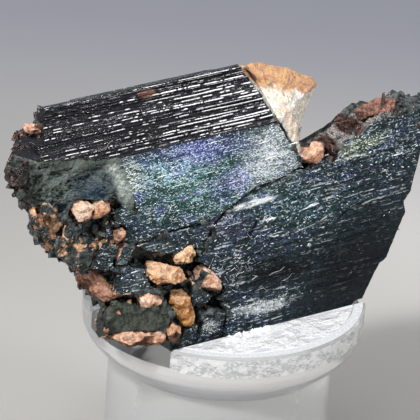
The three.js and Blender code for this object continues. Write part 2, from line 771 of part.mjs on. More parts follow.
function clusterSolid() {
  let cluster = lowerCrystal().add(upperCrystal());
  cluster = cluster.subtract(prismAlongY(HOLLOW_OUTLINE, FRONT - 1, FRONT + HOLLOW_DEPTH));
  for (const chip of [...fragments(), ...brokenRim()]) cluster = cluster.add(chip);

  const branch = [[-5.9, 33.9], [-6.8, 32.8], [-7.5, 31.4], [-8.1, 30]];
  const hollowCrack = [[-20.6, 36.9], [-19.1, 35.1], [-18, 33.4], [-18.7, 30.8], [-14.4, 29.7]];
  const shortCrack = [[-1.8, 31.9], [-2.5, 31], [-2.9, 30.4]];
  const rightCrack = [[8, 30.1], [8.6, 30.5], [10.8, 31.2]];
  cluster = cluster.subtract(crack(SEAM, 0.3, 0.9));
  cluster = cluster.subtract(crack(branch, 0.28, 0.6));
  cluster = cluster.subtract(crack(shortCrack, 0.24, 0.5));
  cluster = cluster.subtract(crack(rightCrack, 0.2, 0.4));
  cluster = cluster.subtract(crack(hollowCrack, 0.35, 1.6));

  // Dark pits in the broken rim.
  cluster = cluster.subtract(shard([6.4, -7, 37.6], [1.6, 3, 2], [10, 20, 10], 501));
  cluster = cluster.subtract(shard([9.6, -6.2, 39.4], [2.2, 2.6, 1.6], [0, -35, 10], 502));
  return cluster;
}

const finishes = {
  crystal: new THREE.MeshStandardMaterial({ color: 0x16242b, roughness: 0.35, metalness: 0.1 }),
  clay: new THREE.MeshStandardMaterial({ color: 0xb3744a, roughness: 0.95, metalness: 0 }),
  acrylic: new THREE.MeshStandardMaterial({ color: 0xe8eaec, roughness: 0.1, metalness: 0 }),
};

const specimen = new THREE.Group();

function place(name, geometry, material) {
  geometry.computeVertexNormals();
  const mesh = new THREE.Mesh(geometry, material.clone());
  mesh.name = name;
  specimen.add(mesh);
}

// Every clay piece as it is, and the wider pocket that it needs in what lies around it.
const clay = Object.entries(CLAY).map(([name, lump]) => ({
  name,
  solid: solidFrom(lumpGeometry(lump)),
  pocket: solidFrom(lumpGeometry(lump, GAP)),
}));
clay.unshift({
  name: 'end_clay_wedge',
  solid: solidFrom(cragGeometry(WEDGE_CORNERS, WEDGE_ROUGHNESS, 71)),
  pocket: solidFrom(cragGeometry(WEDGE_CORNERS, WEDGE_ROUGHNESS, 71, 1.3 * GAP)),
});

let cluster = clusterSolid();
for (const { pocket } of clay) cluster = cluster.subtract(pocket);
place('crystal_cluster', finished(cluster), finishes.crystal);
clay.forEach(({ name, solid }, i) => {
  const earlier = clay.slice(0, i);
  place(name, finished(earlier.reduce((rest, { pocket }) => rest.subtract(pocket), solid)), finishes.clay);
});
place('acrylic_stand', finished(standSolid().subtract(slot())), finishes.acrylic);

export default specimen;
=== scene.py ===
"""Looks of the vivianite crystal cluster on its acrylic stand.

Lengths are in millimetres in the numbers below and become metres when a mesh is made.
+X runs along the crystals, their glittering faces look towards -Y, and +Z is up.
"""

import json
import math

import bmesh
import bpy
import numpy as np
from mathutils import Matrix, Vector
from mathutils.kdtree import KDTree


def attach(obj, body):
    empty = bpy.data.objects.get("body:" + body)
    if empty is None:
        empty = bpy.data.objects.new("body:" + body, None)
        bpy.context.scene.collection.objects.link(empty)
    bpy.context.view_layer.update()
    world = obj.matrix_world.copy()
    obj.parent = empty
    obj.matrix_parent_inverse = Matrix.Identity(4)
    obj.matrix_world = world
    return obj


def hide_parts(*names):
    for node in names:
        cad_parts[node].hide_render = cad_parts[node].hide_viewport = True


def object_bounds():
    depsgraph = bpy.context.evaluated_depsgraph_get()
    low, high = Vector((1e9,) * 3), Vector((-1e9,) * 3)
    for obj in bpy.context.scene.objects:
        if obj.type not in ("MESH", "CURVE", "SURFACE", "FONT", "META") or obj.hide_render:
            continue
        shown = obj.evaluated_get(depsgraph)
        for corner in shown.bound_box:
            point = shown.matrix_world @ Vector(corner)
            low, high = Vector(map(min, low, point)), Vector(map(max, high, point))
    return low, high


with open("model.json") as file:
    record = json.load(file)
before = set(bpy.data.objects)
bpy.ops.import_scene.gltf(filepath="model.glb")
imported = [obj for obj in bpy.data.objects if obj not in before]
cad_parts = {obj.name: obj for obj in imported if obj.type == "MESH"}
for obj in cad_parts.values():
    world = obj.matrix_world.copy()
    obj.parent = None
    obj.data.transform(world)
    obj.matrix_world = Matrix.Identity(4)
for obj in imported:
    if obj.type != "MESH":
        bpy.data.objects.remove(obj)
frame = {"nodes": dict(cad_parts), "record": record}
cad_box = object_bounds()

MM = 0.001

# Faces of the crystals, as the solids have them.
UPPER_FRONT = -7.6
LOWER_FRONT = -7.4
EAVE_HEIGHT = 42.3
ROOF_SLOPE = 0.62
ROOF_DEPTH = 6.1
ROOF_STRETCH = math.hypot(1, ROOF_SLOPE)
ROOF_UP = np.array([0, 1, ROOF_SLOPE]) / ROOF_STRETCH
ROOF_OUT = np.array([0, -ROOF_SLOPE, 1]) / ROOF_STRETCH
ROOF_SUNK = 0.12
NOTCH_DROP = 1.8
FACET_NORMAL = np.array([-0.157, -0.986, -0.059])
SIDE_FACET_NORMAL = np.array([-0.5, -0.86, -0.05])

# How far the dressed pieces stay inside the solids' box.
BOX_MARGIN = 0.02

# Stand.
HEAD_RADIUS = 14.1
HEAD_TOP = 20.2
HEAD_BOTTOM = 18
STEM_RADIUS = 11.2
STEM_TOP = 14
SLOT_FRONT = -7.9
SLOT_BACK = 2.9
SLOT_FLOOR = 18.3


# ---------------------------------------------------------------- noise

def hashed(x, y, z, seed):
    """A number from 0 to 1 for every whole-numbered cell."""
    h = (x * 73856093) ^ (y * 19349663) ^ (z * 83492791) ^ (seed * 2654435761)
    h = (h ^ (h >> 13)) * 1274126177 & 0xFFFFFFFF
    h = (h ^ (h >> 16)) * 668265263 & 0xFFFFFFFF
    return ((h ^ (h >> 15)) & 0xFFFFFF) / 0xFFFFFF


def lumps(at, seed):
    """Smooth noise from -1 to 1 whose lumps are one unit across."""
    cell = np.floor(at).astype(np.int64)
    t = at - cell
    t = t * t * (3 - 2 * t)
    total = np.zeros(len(at))
    for corner in np.ndindex(2, 2, 2):
        share = np.prod(np.where(corner, t, 1 - t), axis=1)
        x, y, z = (cell + corner).T
        total += share * hashed(x, y, z, seed)
    return total * 2 - 1


def lumps_along(x, seed):
    """Smooth noise from -1 to 1 that changes along X only."""
    nothing = np.zeros(x.size)
    return lumps(np.stack([x.ravel(), nothing, nothing], axis=1), seed).reshape(x.shape)


def layered(at, seed, layers=4):
    """Lumps on lumps, each layer half the size and height of the one before."""
    return sum(lumps(at * 2 ** i, seed + i) / 2 ** i for i in range(layers))


def chipped(at, seed):
    """Flat tilted chips one unit across: the height, from about -1 to 1, and how near a chip's edge is."""
    cell = np.floor(at).astype(np.int64)
    nearest = np.full(len(at), 9.0)
    second = np.full(len(at), 9.0)
    height = np.zeros(len(at))
    for step in np.ndindex(3, 3, 3):
        x, y, z = (cell + np.array(step) - 1).T
        chance = np.stack([hashed(x, y, z, seed + i) for i in range(7)], axis=1)
        middle = np.stack([x, y, z], axis=1) + chance[:, :3]
        tilt = chance[:, 3:6] * 2 - 1
        lift = chance[:, 6] * 2 - 1
        away = np.linalg.norm(at - middle, axis=1)
        here = lift * 0.5 + np.einsum("ij,ij->i", at - middle, tilt)
        closer = away < nearest
        second = np.where(closer, nearest, np.minimum(second, away))
        height = np.where(closer, here, height)
        nearest = np.where(closer, away, nearest)
    return height, second - nearest


# ---------------------------------------------------------------- meshes

def cad_mesh(node):
    """Points, in mm, and triangles of a CAD node with its doubled points merged."""
    mesh = frame["nodes"][node].data
    points = np.empty(len(mesh.vertices) * 3)
    mesh.vertices.foreach_get("co", points)
    mesh.calc_loop_triangles()
    faces = np.empty(len(mesh.loop_triangles) * 3, dtype=np.int64)
    mesh.loop_triangles.foreach_get("vertices", faces)
    points, merged = np.unique(np.round(points.reshape(-1, 3) / MM, 4), axis=0, return_inverse=True)
    faces = merged.ravel()[faces].reshape(-1, 3)
    whole = (faces[:, 0] != faces[:, 1]) & (faces[:, 1] != faces[:, 2]) & (faces[:, 2] != faces[:, 0])
    return points, faces[whole]


def split_edges(points, faces, tags, longest):
    """Halves edges until none is longer than the smaller limit of its two faces. longest gives each tag's
    limit; tags go with faces."""
    for _ in range(14):
        edges = np.sort(np.concatenate([faces[:, [0, 1]], faces[:, [1, 2]], faces[:, [2, 0]]]), axis=1)
        unique, which = np.unique(edges, axis=0, return_inverse=True)
        which = which.reshape(3, -1).T
        length = np.linalg.norm(points[unique[:, 0]] - points[unique[:, 1]], axis=1)
        limit = np.full(len(unique), np.inf)
        np.minimum.at(limit, which.ravel(), np.repeat(longest[tags], 3))
        cut = length > limit
        if not cut.any():
            break
        middle = np.full(len(unique), -1)
        middle[cut] = len(points) + np.arange(cut.sum())
        points = np.concatenate([points, points[unique[cut]].mean(axis=1)])
        mid = middle[which]
        count = (mid >= 0).sum(axis=1)
        turn = np.zeros(len(faces), dtype=np.int64)
        turn[count == 1] = np.argmax(mid[count == 1] >= 0, axis=1)
        turn[count == 2] = (np.argmin(mid[count == 2], axis=1) + 1) % 3
        order = (turn[:, None] + np.arange(3)) % 3
        corner = np.take_along_axis(faces, order, axis=1)
        mid = np.take_along_axis(mid, order, axis=1)
        (a, b, c), (ab, bc, ca) = corner.T, mid.T
        patterns = {
            0: [(a, b, c)],
            1: [(a, ab, c), (ab, b, c)],
            2: [(ab, b, bc), (a, ab, c), (ab, bc, c)],
            3: [(a, ab, ca), (ab, b, bc), (ca, bc, c), (ab, bc, ca)],
        }
        parts = []
        kept = []
        for number, triangles in patterns.items():
            chosen = count == number
            for triangle in triangles:
                parts.append(np.stack(triangle, axis=1)[chosen])
                kept.append(tags[chosen])
        faces = np.concatenate(parts)
        tags = np.concatenate(kept)
    return points, faces, tags


def face_normals(points, faces):
    """Unit normals of triangles."""
    a, b, c = points[faces[:, 0]], points[faces[:, 1]], points[faces[:, 2]]
    normals = np.cross(b - a, c - a)
    return normals / np.maximum(np.linalg.norm(normals, axis=1, keepdims=True), 1e-12)


def at_points(values, points, faces):
    """Values of faces averaged at their points, each face weighing as much as its area."""
    a, b, c = points[faces[:, 0]], points[faces[:, 1]], points[faces[:, 2]]
    area = np.linalg.norm(np.cross(b - a, c - a), axis=1) + 1e-9
    values = values.reshape(len(faces), -1)
    total = np.zeros((len(points), values.shape[1]))
    weight = np.zeros(len(points))
    for corner in range(3):
        np.add.at(total, faces[:, corner], values * area[:, None])
        np.add.at(weight, faces[:, corner], area)
    return total / np.maximum(weight, 1e-12)[:, None]


def point_normals(points, faces):
    """Unit normals at points."""
    normals = at_points(face_normals(points, faces), points, faces)
    return normals / np.maximum(np.linalg.norm(normals, axis=1, keepdims=True), 1e-12)


def inside_box(points):
    """Points kept within the solids' own box."""
    low = np.array(cad_box[0]) / MM + BOX_MARGIN
    high = np.array(cad_box[1]) / MM - BOX_MARGIN
    low[2] = 0
    return np.clip(points, low, high)


def linked(name, data):
    """A new object of the scene for a mesh, a camera or a lamp."""
    made = bpy.data.objects.new(name, data)
    bpy.context.scene.collection.objects.link(made)
    return made


def new_object(name, points, faces, materials, zones=None, sharp=None, values=None):
    """A mesh object from points in mm. zones picks each face's material, and faces meeting at more than
    sharp degrees keep a crisp edge; values are numbers stored at the points by name."""
    mesh = bpy.data.meshes.new(name)
    mesh.from_pydata(np.asarray(points) * MM, [], faces.tolist() if isinstance(faces, np.ndarray) else faces)
    for material in materials:
        mesh.materials.append(material)
    if zones is not None:
        mesh.polygons.foreach_set("material_index", np.asarray(zones, dtype=np.int32))
    if sharp is not None:
        mesh.polygons.foreach_set("use_smooth", np.ones(len(mesh.polygons), dtype=bool))
        mesh.set_sharp_from_angle(angle=math.radians(sharp))
    for title, numbers in (values or {}).items():
        stored = mesh.attributes.new(title, "FLOAT", "POINT")
        stored.data.foreach_set("value", np.asarray(numbers, dtype=np.float32))
    mesh.update()
    return linked(name, mesh)


# ---------------------------------------------------------------- shader tools

class Recipe:
    """Adds nodes to a tree. A value given for an input is a number, a colour or another node's output."""

    def __init__(self, tree):
        self.tree = tree

    def feed(self, socket, value):
        if isinstance(value, bpy.types.NodeSocket):
            self.tree.links.new(value, socket)
        elif isinstance(value, tuple) and len(value) == 3 and len(socket.default_value) == 4:
            socket.default_value = (*value, 1)
        else:
            socket.default_value = value

    def node(self, kind, feeds=None, **settings):
        """A node with its settings, and with what feeds its inputs, given by name or number."""
        made = self.tree.nodes.new(kind)
        for name, value in settings.items():
            setattr(made, name, value)
        for name, value in (feeds or {}).items():
            self.feed(made.inputs[name], value)
        return made

    def maths(self, operation, a, b=0.0):
        return self.node("ShaderNodeMath", {0: a, 1: b}, operation=operation).outputs[0]

    def times(self, a, b):
        return self.maths("MULTIPLY", a, b)

    def plus(self, a, b):
        return self.maths("ADD", a, b)

    def minus(self, a, b):
        return self.maths("SUBTRACT", a, b)

    def most(self, first, *others):
        """The largest of the values."""
        for other in others:
            first = self.maths("MAXIMUM", first, other)
        return first

    def blend(self, share, a, b, kind="MIX"):
        feeds = {0: share, 6: a, 7: b}
        return self.node("ShaderNodeMix", feeds, data_type="RGBA", blend_type=kind).outputs[2]

    def painted(self, colour, *coats):
        """A colour under coats of (mask, paint), each over the ones before it."""
        for mask, paint in coats:
            colour = self.blend(mask, colour, paint)
        return colour

    def between(self, value, low, high, start=0.0, end=1.0):
        """Turns low..high smoothly into start..end."""
        feeds = dict(enumerate((value, low, high, start, end)))
        return self.node("ShaderNodeMapRange", feeds, interpolation_type="SMOOTHSTEP").outputs[0]

    def vector(self, operation, feeds, output="Vector"):
        return self.node("ShaderNodeVectorMath", feeds, operation=operation).outputs[output]

    def along(self, place, direction):
        """How far a place lies along a direction."""
        return self.vector("DOT_PRODUCT", {0: place, 1: direction}, "Value")

    def moved(self, place, stretch=(1, 1, 1), turn=0.0, centre=(0, 0, 0)):
        """The pattern's place about centre, turned by degrees from +X towards +Z and then stretched."""
        feeds = {
            "Vector": place,
            "Location": centre,
            "Rotation": (0, -math.radians(turn), 0),
            "Scale": [1 / side for side in stretch],
        }
        return self.node("ShaderNodeMapping", feeds, vector_type="TEXTURE").outputs[0]

    def shaken(self, place, noise, reach):
        """A place pushed about by a coloured noise, over reach in all."""
        middle = [-side / 2 for side in reach]
        push = self.vector("MULTIPLY_ADD", {0: noise, 1: reach, 2: middle})
        return self.vector("ADD", {0: place, 1: push})

    def noise(self, place, scale, detail=2.0, rough=0.5, twist=0.0, output="Fac"):
        feeds = {"Vector": place, "Scale": scale, "Detail": detail, "Roughness": rough, "Distortion": twist}
        return self.node("ShaderNodeTexNoise", feeds).outputs[output]

    def cells(self, place, scale, feature="F1"):
        feeds = {"Vector": place, "Scale": scale}
        return self.node("ShaderNodeTexVoronoi", feeds, feature=feature).outputs["Distance"]

    def patch(self, place, centre, radii, turn=0.0):
        """1 at the centre, fading to 0 at the radii; turned in the XZ plane by degrees."""
        local = self.moved(place, [1 / radius for radius in radii], turn, centre)
        return self.between(self.vector("LENGTH", {0: local}, "Value"), 1, 0)

    def line(self, place, path, width):
        """1 along a path of (x, z) places on the faces, fading out at its width."""
        runs = []
        for (x0, z0), (x1, z1) in zip(path, path[1:]):
            half = math.hypot(x1 - x0, z1 - z0) / 2
            turn = math.degrees(math.atan2(z1 - z0, x1 - x0))
            centre = ((x0 + x1) / 2, UPPER_FRONT, (z0 + z1) / 2)
            runs.append(self.patch(place, centre, (half * 1.15 + width, 8, width), turn))
        return self.between(self.most(*runs), 0, 0.75)

    def millimetres(self):
        """The object's own coordinates in mm."""
        source = self.node("ShaderNodeTexCoord").outputs["Object"]
        return self.vector("SCALE", {0: source, "Scale": 1 / MM})

    def stored(self, name):
        """A number stored at the mesh's points."""
        return self.node("ShaderNodeAttribute", attribute_name=name).outputs["Fac"]

    def bump(self, height, distance):
        feeds = {"Height": height, "Distance": distance * MM, "Strength": 1.0}
        return self.node("ShaderNodeBump", feeds).outputs[0]

    def group(self, tree, **inputs):
        """A shared effect placed in this material; returns its outputs."""
        return self.node("ShaderNodeGroup", inputs, node_tree=tree).outputs


def shared_effect(name, inputs, outputs, build):
    """A shader node group. inputs and outputs give each socket's kind, and a number's default value."""
    tree = bpy.data.node_groups.new(name, "ShaderNodeTree")
    for title, kind, *default in inputs:
        socket = tree.interface.new_socket(title, in_out="INPUT", socket_type=kind)
        if default:
            socket.default_value = default[0]
    for title, kind in outputs:
        tree.interface.new_socket(title, in_out="OUTPUT", socket_type=kind)
    recipe = Recipe(tree)
    given = recipe.node("NodeGroupInput").outputs
    recipe.node("NodeGroupOutput", build(recipe, given))
    return tree


def new_material(name, build, **plain):
    """A material: build returns what feeds the shader's sockets, and plain gives the steady numbers."""
    material = bpy.data.materials.new(name)
    material.use_nodes = True
    tree = material.node_tree
    shader = tree.nodes["Principled BSDF"]
    recipe = Recipe(tree)
    for title, value in build(recipe).items():
        recipe.feed(shader.inputs[title], value)
    for title, value in plain.items():
        recipe.feed(shader.inputs[title.replace("_", " ")], value)
    return material


VALUE = "NodeSocketFloat"
COLOUR = "NodeSocketColor"
PLACE = "NodeSocketVector"


# ---------------------------------------------------------------- shared effects

def build_strokes(recipe, given):
    """Short bright strokes that lie along X and cross each other at small angles."""
    place = given["Place"]
    layers = []
    for angle, seed in ((52, 0.0), (-46, 31.0), (3, 57.0)):
        local = recipe.moved(place, (0.5, 1, 1), angle, (seed, seed, 0))
        layers.append(recipe.noise(local, given["Fineness"], 2.5, 0.7, 0.6))
    height = recipe.most(*layers)
    above = recipe.minus(height, recipe.between(given["Density"], 0, 1, 0.76, 0.47))
    glow = recipe.between(recipe.noise(place, 4.0, 2.0), 0.3, 0.6, 0.35, 1.0)
    return {"Mask": recipe.times(recipe.between(above, -0.01, 0.08), glow), "Height": height}


strokes = shared_effect(
    "crossing strokes",
    [("Place", PLACE), ("Density", VALUE, 0.5), ("Fineness", VALUE, 5.5)],
    [("Mask", VALUE), ("Height", VALUE)],
    build_strokes,
)


# Patches of colour on the broad faces, some of them painted sheen: centre, radii along X, Y and Z, turn in
# # degrees, what they paint on the dark body, the middle tone and the sparks, and how much they thicken the
# # glitter. Later ones lie over earlier ones.
COLOUR_PATCHES = {
    "teal": ((2.5, LOWER_FRONT, 32.6), (11, 6, 3.6), -10,
             {"middle": (0.05, 0.12, 0.13), "spark": (0.50, 0.68, 0.70)}, 0.14),
    "slate": ((-5.5, LOWER_FRONT, 32.2), (6.5, 6, 2.4), -12, {"middle": (0.10, 0.11, 0.20)}, 0.1),
    "cyan": ((-13.5, UPPER_FRONT, 39.6), (6.4, 6, 2.6), 0,
             {"middle": (0.20, 0.42, 0.48), "spark": (0.80, 0.97, 1.0)}, 0.25),
    "violet": ((-9.8, UPPER_FRONT, 41.2), (7, 6, 2.5), -4,
               {"body": (0.03, 0.035, 0.14), "middle": (0.14, 0.18, 0.44), "spark": (0.62, 0.70, 1.0)}, 0.2),
    "low_violet": (
        (-5.3, UPPER_FRONT, 37.2), (4.2, 6, 2.4), 22,
        {"body": (0.028, 0.03, 0.1), "middle": (0.15, 0.18, 0.38), "spark": (0.62, 0.68, 1.0)}, -0.02,
    ),
    # painted sheen: the broad bright reflection high on the upper crystal
    "painted_sheen": ((-1.0, UPPER_FRONT, 39.2), (6.8, 6, 5.4), 30,
               {"body": (0.10, 0.13, 0.14), "middle": (0.40, 0.48, 0.52), "spark": (1.0, 1.0, 0.98)}, 0.52),
    # painted sheen along the facet's right edge
    "edge_sheen": ((-18.0, UPPER_FRONT, 39.8), (2.4, 6, 4.4), 22,
                  {"middle": (0.42, 0.5, 0.46), "spark": (0.95, 1.0, 0.95)}, 0.3),
    "shine": ((-0.4, LOWER_FRONT, 22.3), (7.5, 6, 1.5), 0, {"spark": (0.95, 0.98, 1.0)}, 0.9),
    "lime": ((9.2, LOWER_FRONT, 37.4), (5.5, 6, 2.0), 8,
             {"middle": (0.19, 0.25, 0.17), "spark": (0.86, 0.94, 0.76)}, 0.3),
    "low_block": ((-7.3, UPPER_FRONT, 21.6), (2.6, 6, 2.3), 0, {"spark": (1.0, 1.0, 1.0)}, 0.6),
    "blocks": ((-15.2, UPPER_FRONT, 30.2), (5.5, 6, 4.2), 0, {"middle": (0.17, 0.21, 0.21)}, -0.08),
    "top_right": ((13.5, LOWER_FRONT, 36.4), (7, 6, 3), 8, {}, 0.22),
    "rust": ((17.8, LOWER_FRONT, 38.4), (1.5, 6, 0.7), 10,
             {"middle": (0.38, 0.16, 0.07), "spark": (0.80, 0.42, 0.22)}, 0.0),
}


def build_play(recipe, given):
    """Vivianite's play of colour: dark body, middle tone, painted sparks and glitter, and painted shade."""
    place = given["Place"]
    swirl = recipe.noise(recipe.moved(place, (0.5, 1, 1)), 0.55, 3.0, output="Color")
    at = recipe.shaken(place, swirl, (5, 2.4, 2.4))
    upper_band = recipe.patch(at, (-9, UPPER_FRONT, 37.6), (14, 6, 6.2), -8)
    # Painted shade low on the right of the faces, where their sheen falls away.
    shaded = recipe.most(
        recipe.patch(at, (10.5, LOWER_FRONT, 24.0), (14, 6, 9.5), 35),
        recipe.patch(at, (1.5, LOWER_FRONT, 25.8), (10, 6, 2.8)),
    )
    tones = {
        "body": recipe.blend(upper_band, (0.008, 0.014, 0.018), (0.012, 0.045, 0.042)),
        "middle": recipe.blend(upper_band, (0.03, 0.055, 0.07), (0.07, 0.20, 0.18)),
        "spark": recipe.blend(upper_band, (0.46, 0.56, 0.60), (0.46, 0.62, 0.62)),
    }
    glitter = recipe.minus(recipe.times(upper_band, 0.34), recipe.times(shaded, 0.25))
    for centre, radii, turn, paints, gain in COLOUR_PATCHES.values():
        mask = recipe.patch(at, centre, radii, turn)
        for tone, paint in paints.items():
            tones[tone] = recipe.blend(mask, tones[tone], paint)
        if gain:
            glitter = recipe.plus(glitter, recipe.times(mask, gain))
    # Under the painted shade the body, middle tone and sparks turn nearly black.
    body = recipe.blend(recipe.times(shaded, 0.9), tones["body"], (0.002, 0.003, 0.005))
    middle = recipe.blend(shaded, tones["middle"], (0.005, 0.007, 0.012))
    spark = recipe.blend(recipe.times(shaded, 0.9), tones["spark"], (0.02, 0.025, 0.03))

    blotch = recipe.noise(recipe.moved(place, (0.55, 1, 1), -10), 0.85, 4.0, 0.65)
    indigo = recipe.times(recipe.between(blotch, 0.5, 0.6), recipe.between(upper_band, 0, 0.5, 0.25, 0.75))
    indigo = recipe.times(indigo, recipe.between(shaded, 0, 0.5, 1, 0))
    middle = recipe.blend(indigo, middle, (0.11, 0.14, 0.36))
    spark = recipe.blend(recipe.times(indigo, 0.8), spark, (0.66, 0.72, 1.0))
    gloom = recipe.times(recipe.between(blotch, 0.47, 0.38), 0.55)
    middle = recipe.blend(gloom, middle, body)

    streaks = recipe.noise(recipe.moved(place, (0.12, 1, 1), -3), 1.6, 3.0)
    glitter = recipe.plus(glitter, recipe.between(streaks, 0.35, 0.7, 0.08, 0.34))
    glitter = recipe.minus(glitter, recipe.times(gloom, 0.35))
    return {"Body": body, "Middle": middle, "Spark": spark, "Glitter": glitter, "Shaded": shaded}


play_of_colour = shared_effect(
    "vivianite play of colour",
    [("Place", PLACE)],
    [("Body", COLOUR), ("Middle", COLOUR), ("Spark", COLOUR), ("Glitter", VALUE), ("Shaded", VALUE)],
    build_play,
)


# Cracks, clay-filled seams and ledges of the front faces, the ledges' pale lines being painted glints, as
# paths of (x, z) places.
SEAM = [
    (2.6, 36.8), (1.35, 36.3), (-0.6, 35.9), (-2.6, 35.7), (-3.4, 35.3), (-5.8, 33.9), (-6.5, 33.3),
    (-7.3, 32.4), (-8.0, 30.9),
]
LEFT_SEAM = [(-8.7, 33.4), (-11.9, 33.1), (-13.7, 33.1), (-14.8, 32.7), (-16.6, 32.6)]
BRANCH = [(-2.0, 32.1), (-2.7, 31.0), (-3.4, 30.2)]
RIGHT_CRACK = [(8.5, 30.7), (7.9, 30.0)]
CRACKS = [(SEAM, 0.26), (LEFT_SEAM, 0.22), (BRANCH, 0.24), (RIGHT_CRACK, 0.2)]
BLOCK_CRACKS = [
    [(-20.0, 34.9), (-18.9, 33.8), (-17.9, 33.0)],
    [(-20.4, 32.9), (-20.8, 31.5), (-20.1, 30.0), (-18.3, 29.5), (-16.4, 29.6)],
    [(-19.1, 33.2), (-18.9, 31.9), (-18.1, 30.2)],
]
CLAY_SEAMS = [
    ([(-27.0, 38.1), (-25.5, 35.8), (-24.7, 34.6), (-23.0, 33.6), (-20.6, 32.9)], 0.85),
    ([(-18.2, 27.6), (-15.8, 26.8), (-14.5, 26.7), (-12.4, 25.6)], 0.8),
    ([(-6.9, 23.1), (-4.6, 22.2), (-3.4, 21.6)], 0.7),
]
PALE_LINES = [
    [(-1.7, 31.8), (0.5, 31.9)],
    [(-0.7, 30.0), (2.2, 29.5), (5.0, 30.1), (7.3, 30.8)],
    [(9.0, 30.8), (15.5, 31.5)],
    [(5.5, 36.4), (10.8, 36.6)],
    [(2.8, 31.9), (5.5, 32.4)],
    [(-5.4, 25.6), (-1.3, 25.4)],
    [(-3.2, 23.3), (-1.0, 23.3)],
]


def build_marks(recipe, given):
    """Cracks of the front faces, the pale lines of their thin ledges, which are painted glints, and one
    broad bright streak.
    """
    place = given["Place"]
    at = recipe.shaken(place, recipe.noise(place, 1.6, 3.0, output="Color"), (0.5, 0.5, 0.5))
    crack = recipe.most(*(recipe.line(at, path, width) for path, width in CRACKS))
    broken = recipe.between(recipe.noise(recipe.moved(place, (0.5, 1, 1)), 3.5), 0.36, 0.5)
    ledges = recipe.times(recipe.most(*(recipe.line(at, path, 0.17) for path in PALE_LINES)), broken)
    rim = recipe.times(recipe.line(at, [(x, z - 0.3) for x, z in LEFT_SEAM], 0.22), broken)
    streak = recipe.patch(at, (-2.9, UPPER_FRONT, 33.95), (4.3, 8, 0.5), 3)
    grooves = recipe.noise(recipe.moved(place, (0.1, 1, 1), 2), 6.0, 2.0)
    streak = recipe.times(recipe.between(streak, 0, 0.5), recipe.between(grooves, 0.35, 0.5, 0.3, 1.0))
    threads = recipe.between(recipe.noise(recipe.moved(place, (0.045, 1, 1), 1), 5.5, 1.0), 0.60, 0.67)
    dashes = recipe.between(recipe.noise(recipe.moved(place, (0.6, 1, 1)), 2.6), 0.45, 0.6)
    lower = recipe.between(recipe.along(place, (0, 0, 1)), 37.5, 34.5, 0.25, 0.6)
    threads = recipe.times(recipe.times(threads, dashes), lower)
    return {"Crack": crack, "Pale": recipe.most(ledges, streak, rim, threads)}


face_marks = shared_effect(
    "cracks and ledges",
    [("Place", PLACE)],
    [("Crack", VALUE), ("Pale", VALUE)],
    build_marks,
)


def build_dust(recipe, given):
    """Clay dust that lies in patches and thins out to specks."""
    place = given["Place"]
    broad = recipe.noise(place, 0.62, 3.0, 0.6)
    fine = recipe.noise(place, 3.4, 3.0, 0.65)
    both = recipe.plus(recipe.times(broad, 0.8), recipe.times(fine, 0.2))
    threshold = recipe.between(given["Amount"], 0, 1, 0.72, 0.32)
    mask = recipe.between(recipe.minus(both, threshold), 0, 0.05)
    hue = recipe.noise(place, 1.3, 3.0)
    warm = recipe.blend(recipe.between(hue, 0.35, 0.6), (0.13, 0.045, 0.02), (0.60, 0.33, 0.18))
    pale = recipe.blend(recipe.between(fine, 0.54, 0.64), warm, (0.80, 0.57, 0.42))
    return {"Mask": mask, "Color": pale}


clay_dust = shared_effect(
    "clay dust",
    [("Place", PLACE), ("Amount", VALUE, 0.5)],
    [("Mask", VALUE), ("Color", COLOUR)],
    build_dust,
)


def build_earth(recipe, given):
    """Dry crumbly clay: mottled between two colours, pitted with pores, with a painted highlight and painted
    shade.
    """
    place = given["Place"]
    broad = recipe.noise(place, 1.4, 5.0, 0.7, 0.4)
    grain = recipe.noise(place, 5.5, 4.0, 0.75)
    stains = recipe.noise(place, 1.3, 3.0, 0.55)
    pores = recipe.between(recipe.cells(place, 3.2), 0.0, 0.30)
    colour = recipe.painted(
        recipe.blend(recipe.between(broad, 0.45, 0.58), given["Light"], given["Deep"]),
        (recipe.times(recipe.between(stains, 0.48, 0.38), given["Stain"]),
         recipe.blend(0.75, given["Deep"], (0.08, 0.03, 0.012))),
        (recipe.between(grain, 0.55, 0.7, 0.0, 0.6), (1.0, 0.88, 0.76)),
        # painted highlight on faces turned up
        (recipe.times(given["Crest"], recipe.between(grain, 0.35, 0.6, 0.0, 0.75)), (1.0, 0.86, 0.70)),
        # painted shade on undersides and in low spots
        (recipe.between(given["Hollow"], 0.1, 0.9, 0.0, 0.9), (0.06, 0.02, 0.008)),
    )
    return {"Color": colour, "Height": recipe.plus(recipe.times(grain, 0.8), recipe.times(pores, 0.12))}


earth = shared_effect(
    "dry clay",
    [("Place", PLACE), ("Light", COLOUR), ("Deep", COLOUR), ("Hollow", VALUE, 0.0), ("Crest", VALUE, 0.0),
     ("Stain", VALUE, 0.7)],
    [("Color", COLOUR), ("Height", VALUE)],
    build_earth,
)


# ---------------------------------------------------------------- materials

def marked(recipe, colour, play, marks):
    """A front face's colour with the painted glints of its ledges, faint under the painted shade, and its
    cracks.
    """
    pale = recipe.times(marks["Pale"], recipe.between(play["Shaded"], 0.1, 0.7, 0.9, 0.12))
    colour = recipe.blend(pale, colour, (0.92, 0.95, 0.95))
    return recipe.blend(marks["Crack"], colour, (0.002, 0.002, 0.003))


def glittering_face(recipe):
    """The broad front faces, under their crust of splinters, with painted glints."""
    place = recipe.millimetres()
    play = recipe.group(play_of_colour, Place=place)
    marks = recipe.group(face_marks, Place=place)
    flecks = recipe.group(strokes, Place=place, Density=play["Glitter"], Fineness=8.5)
    soft = recipe.between(recipe.noise(recipe.moved(place, (0.5, 1, 1)), 3.4, 3.0, 0.7), 0.4, 0.66)
    colour = recipe.blend(soft, play["Body"], play["Middle"])
    # Painted glints: the flecks take the spark colour.
    colour = recipe.blend(recipe.times(flecks["Mask"], 0.7), colour, play["Spark"])
    return {
        "Base Color": marked(recipe, colour, play, marks),
        "Roughness": recipe.between(flecks["Height"], 0.45, 0.7, 0.42, 0.2),
        "Normal": recipe.bump(flecks["Height"], 0.12),
    }


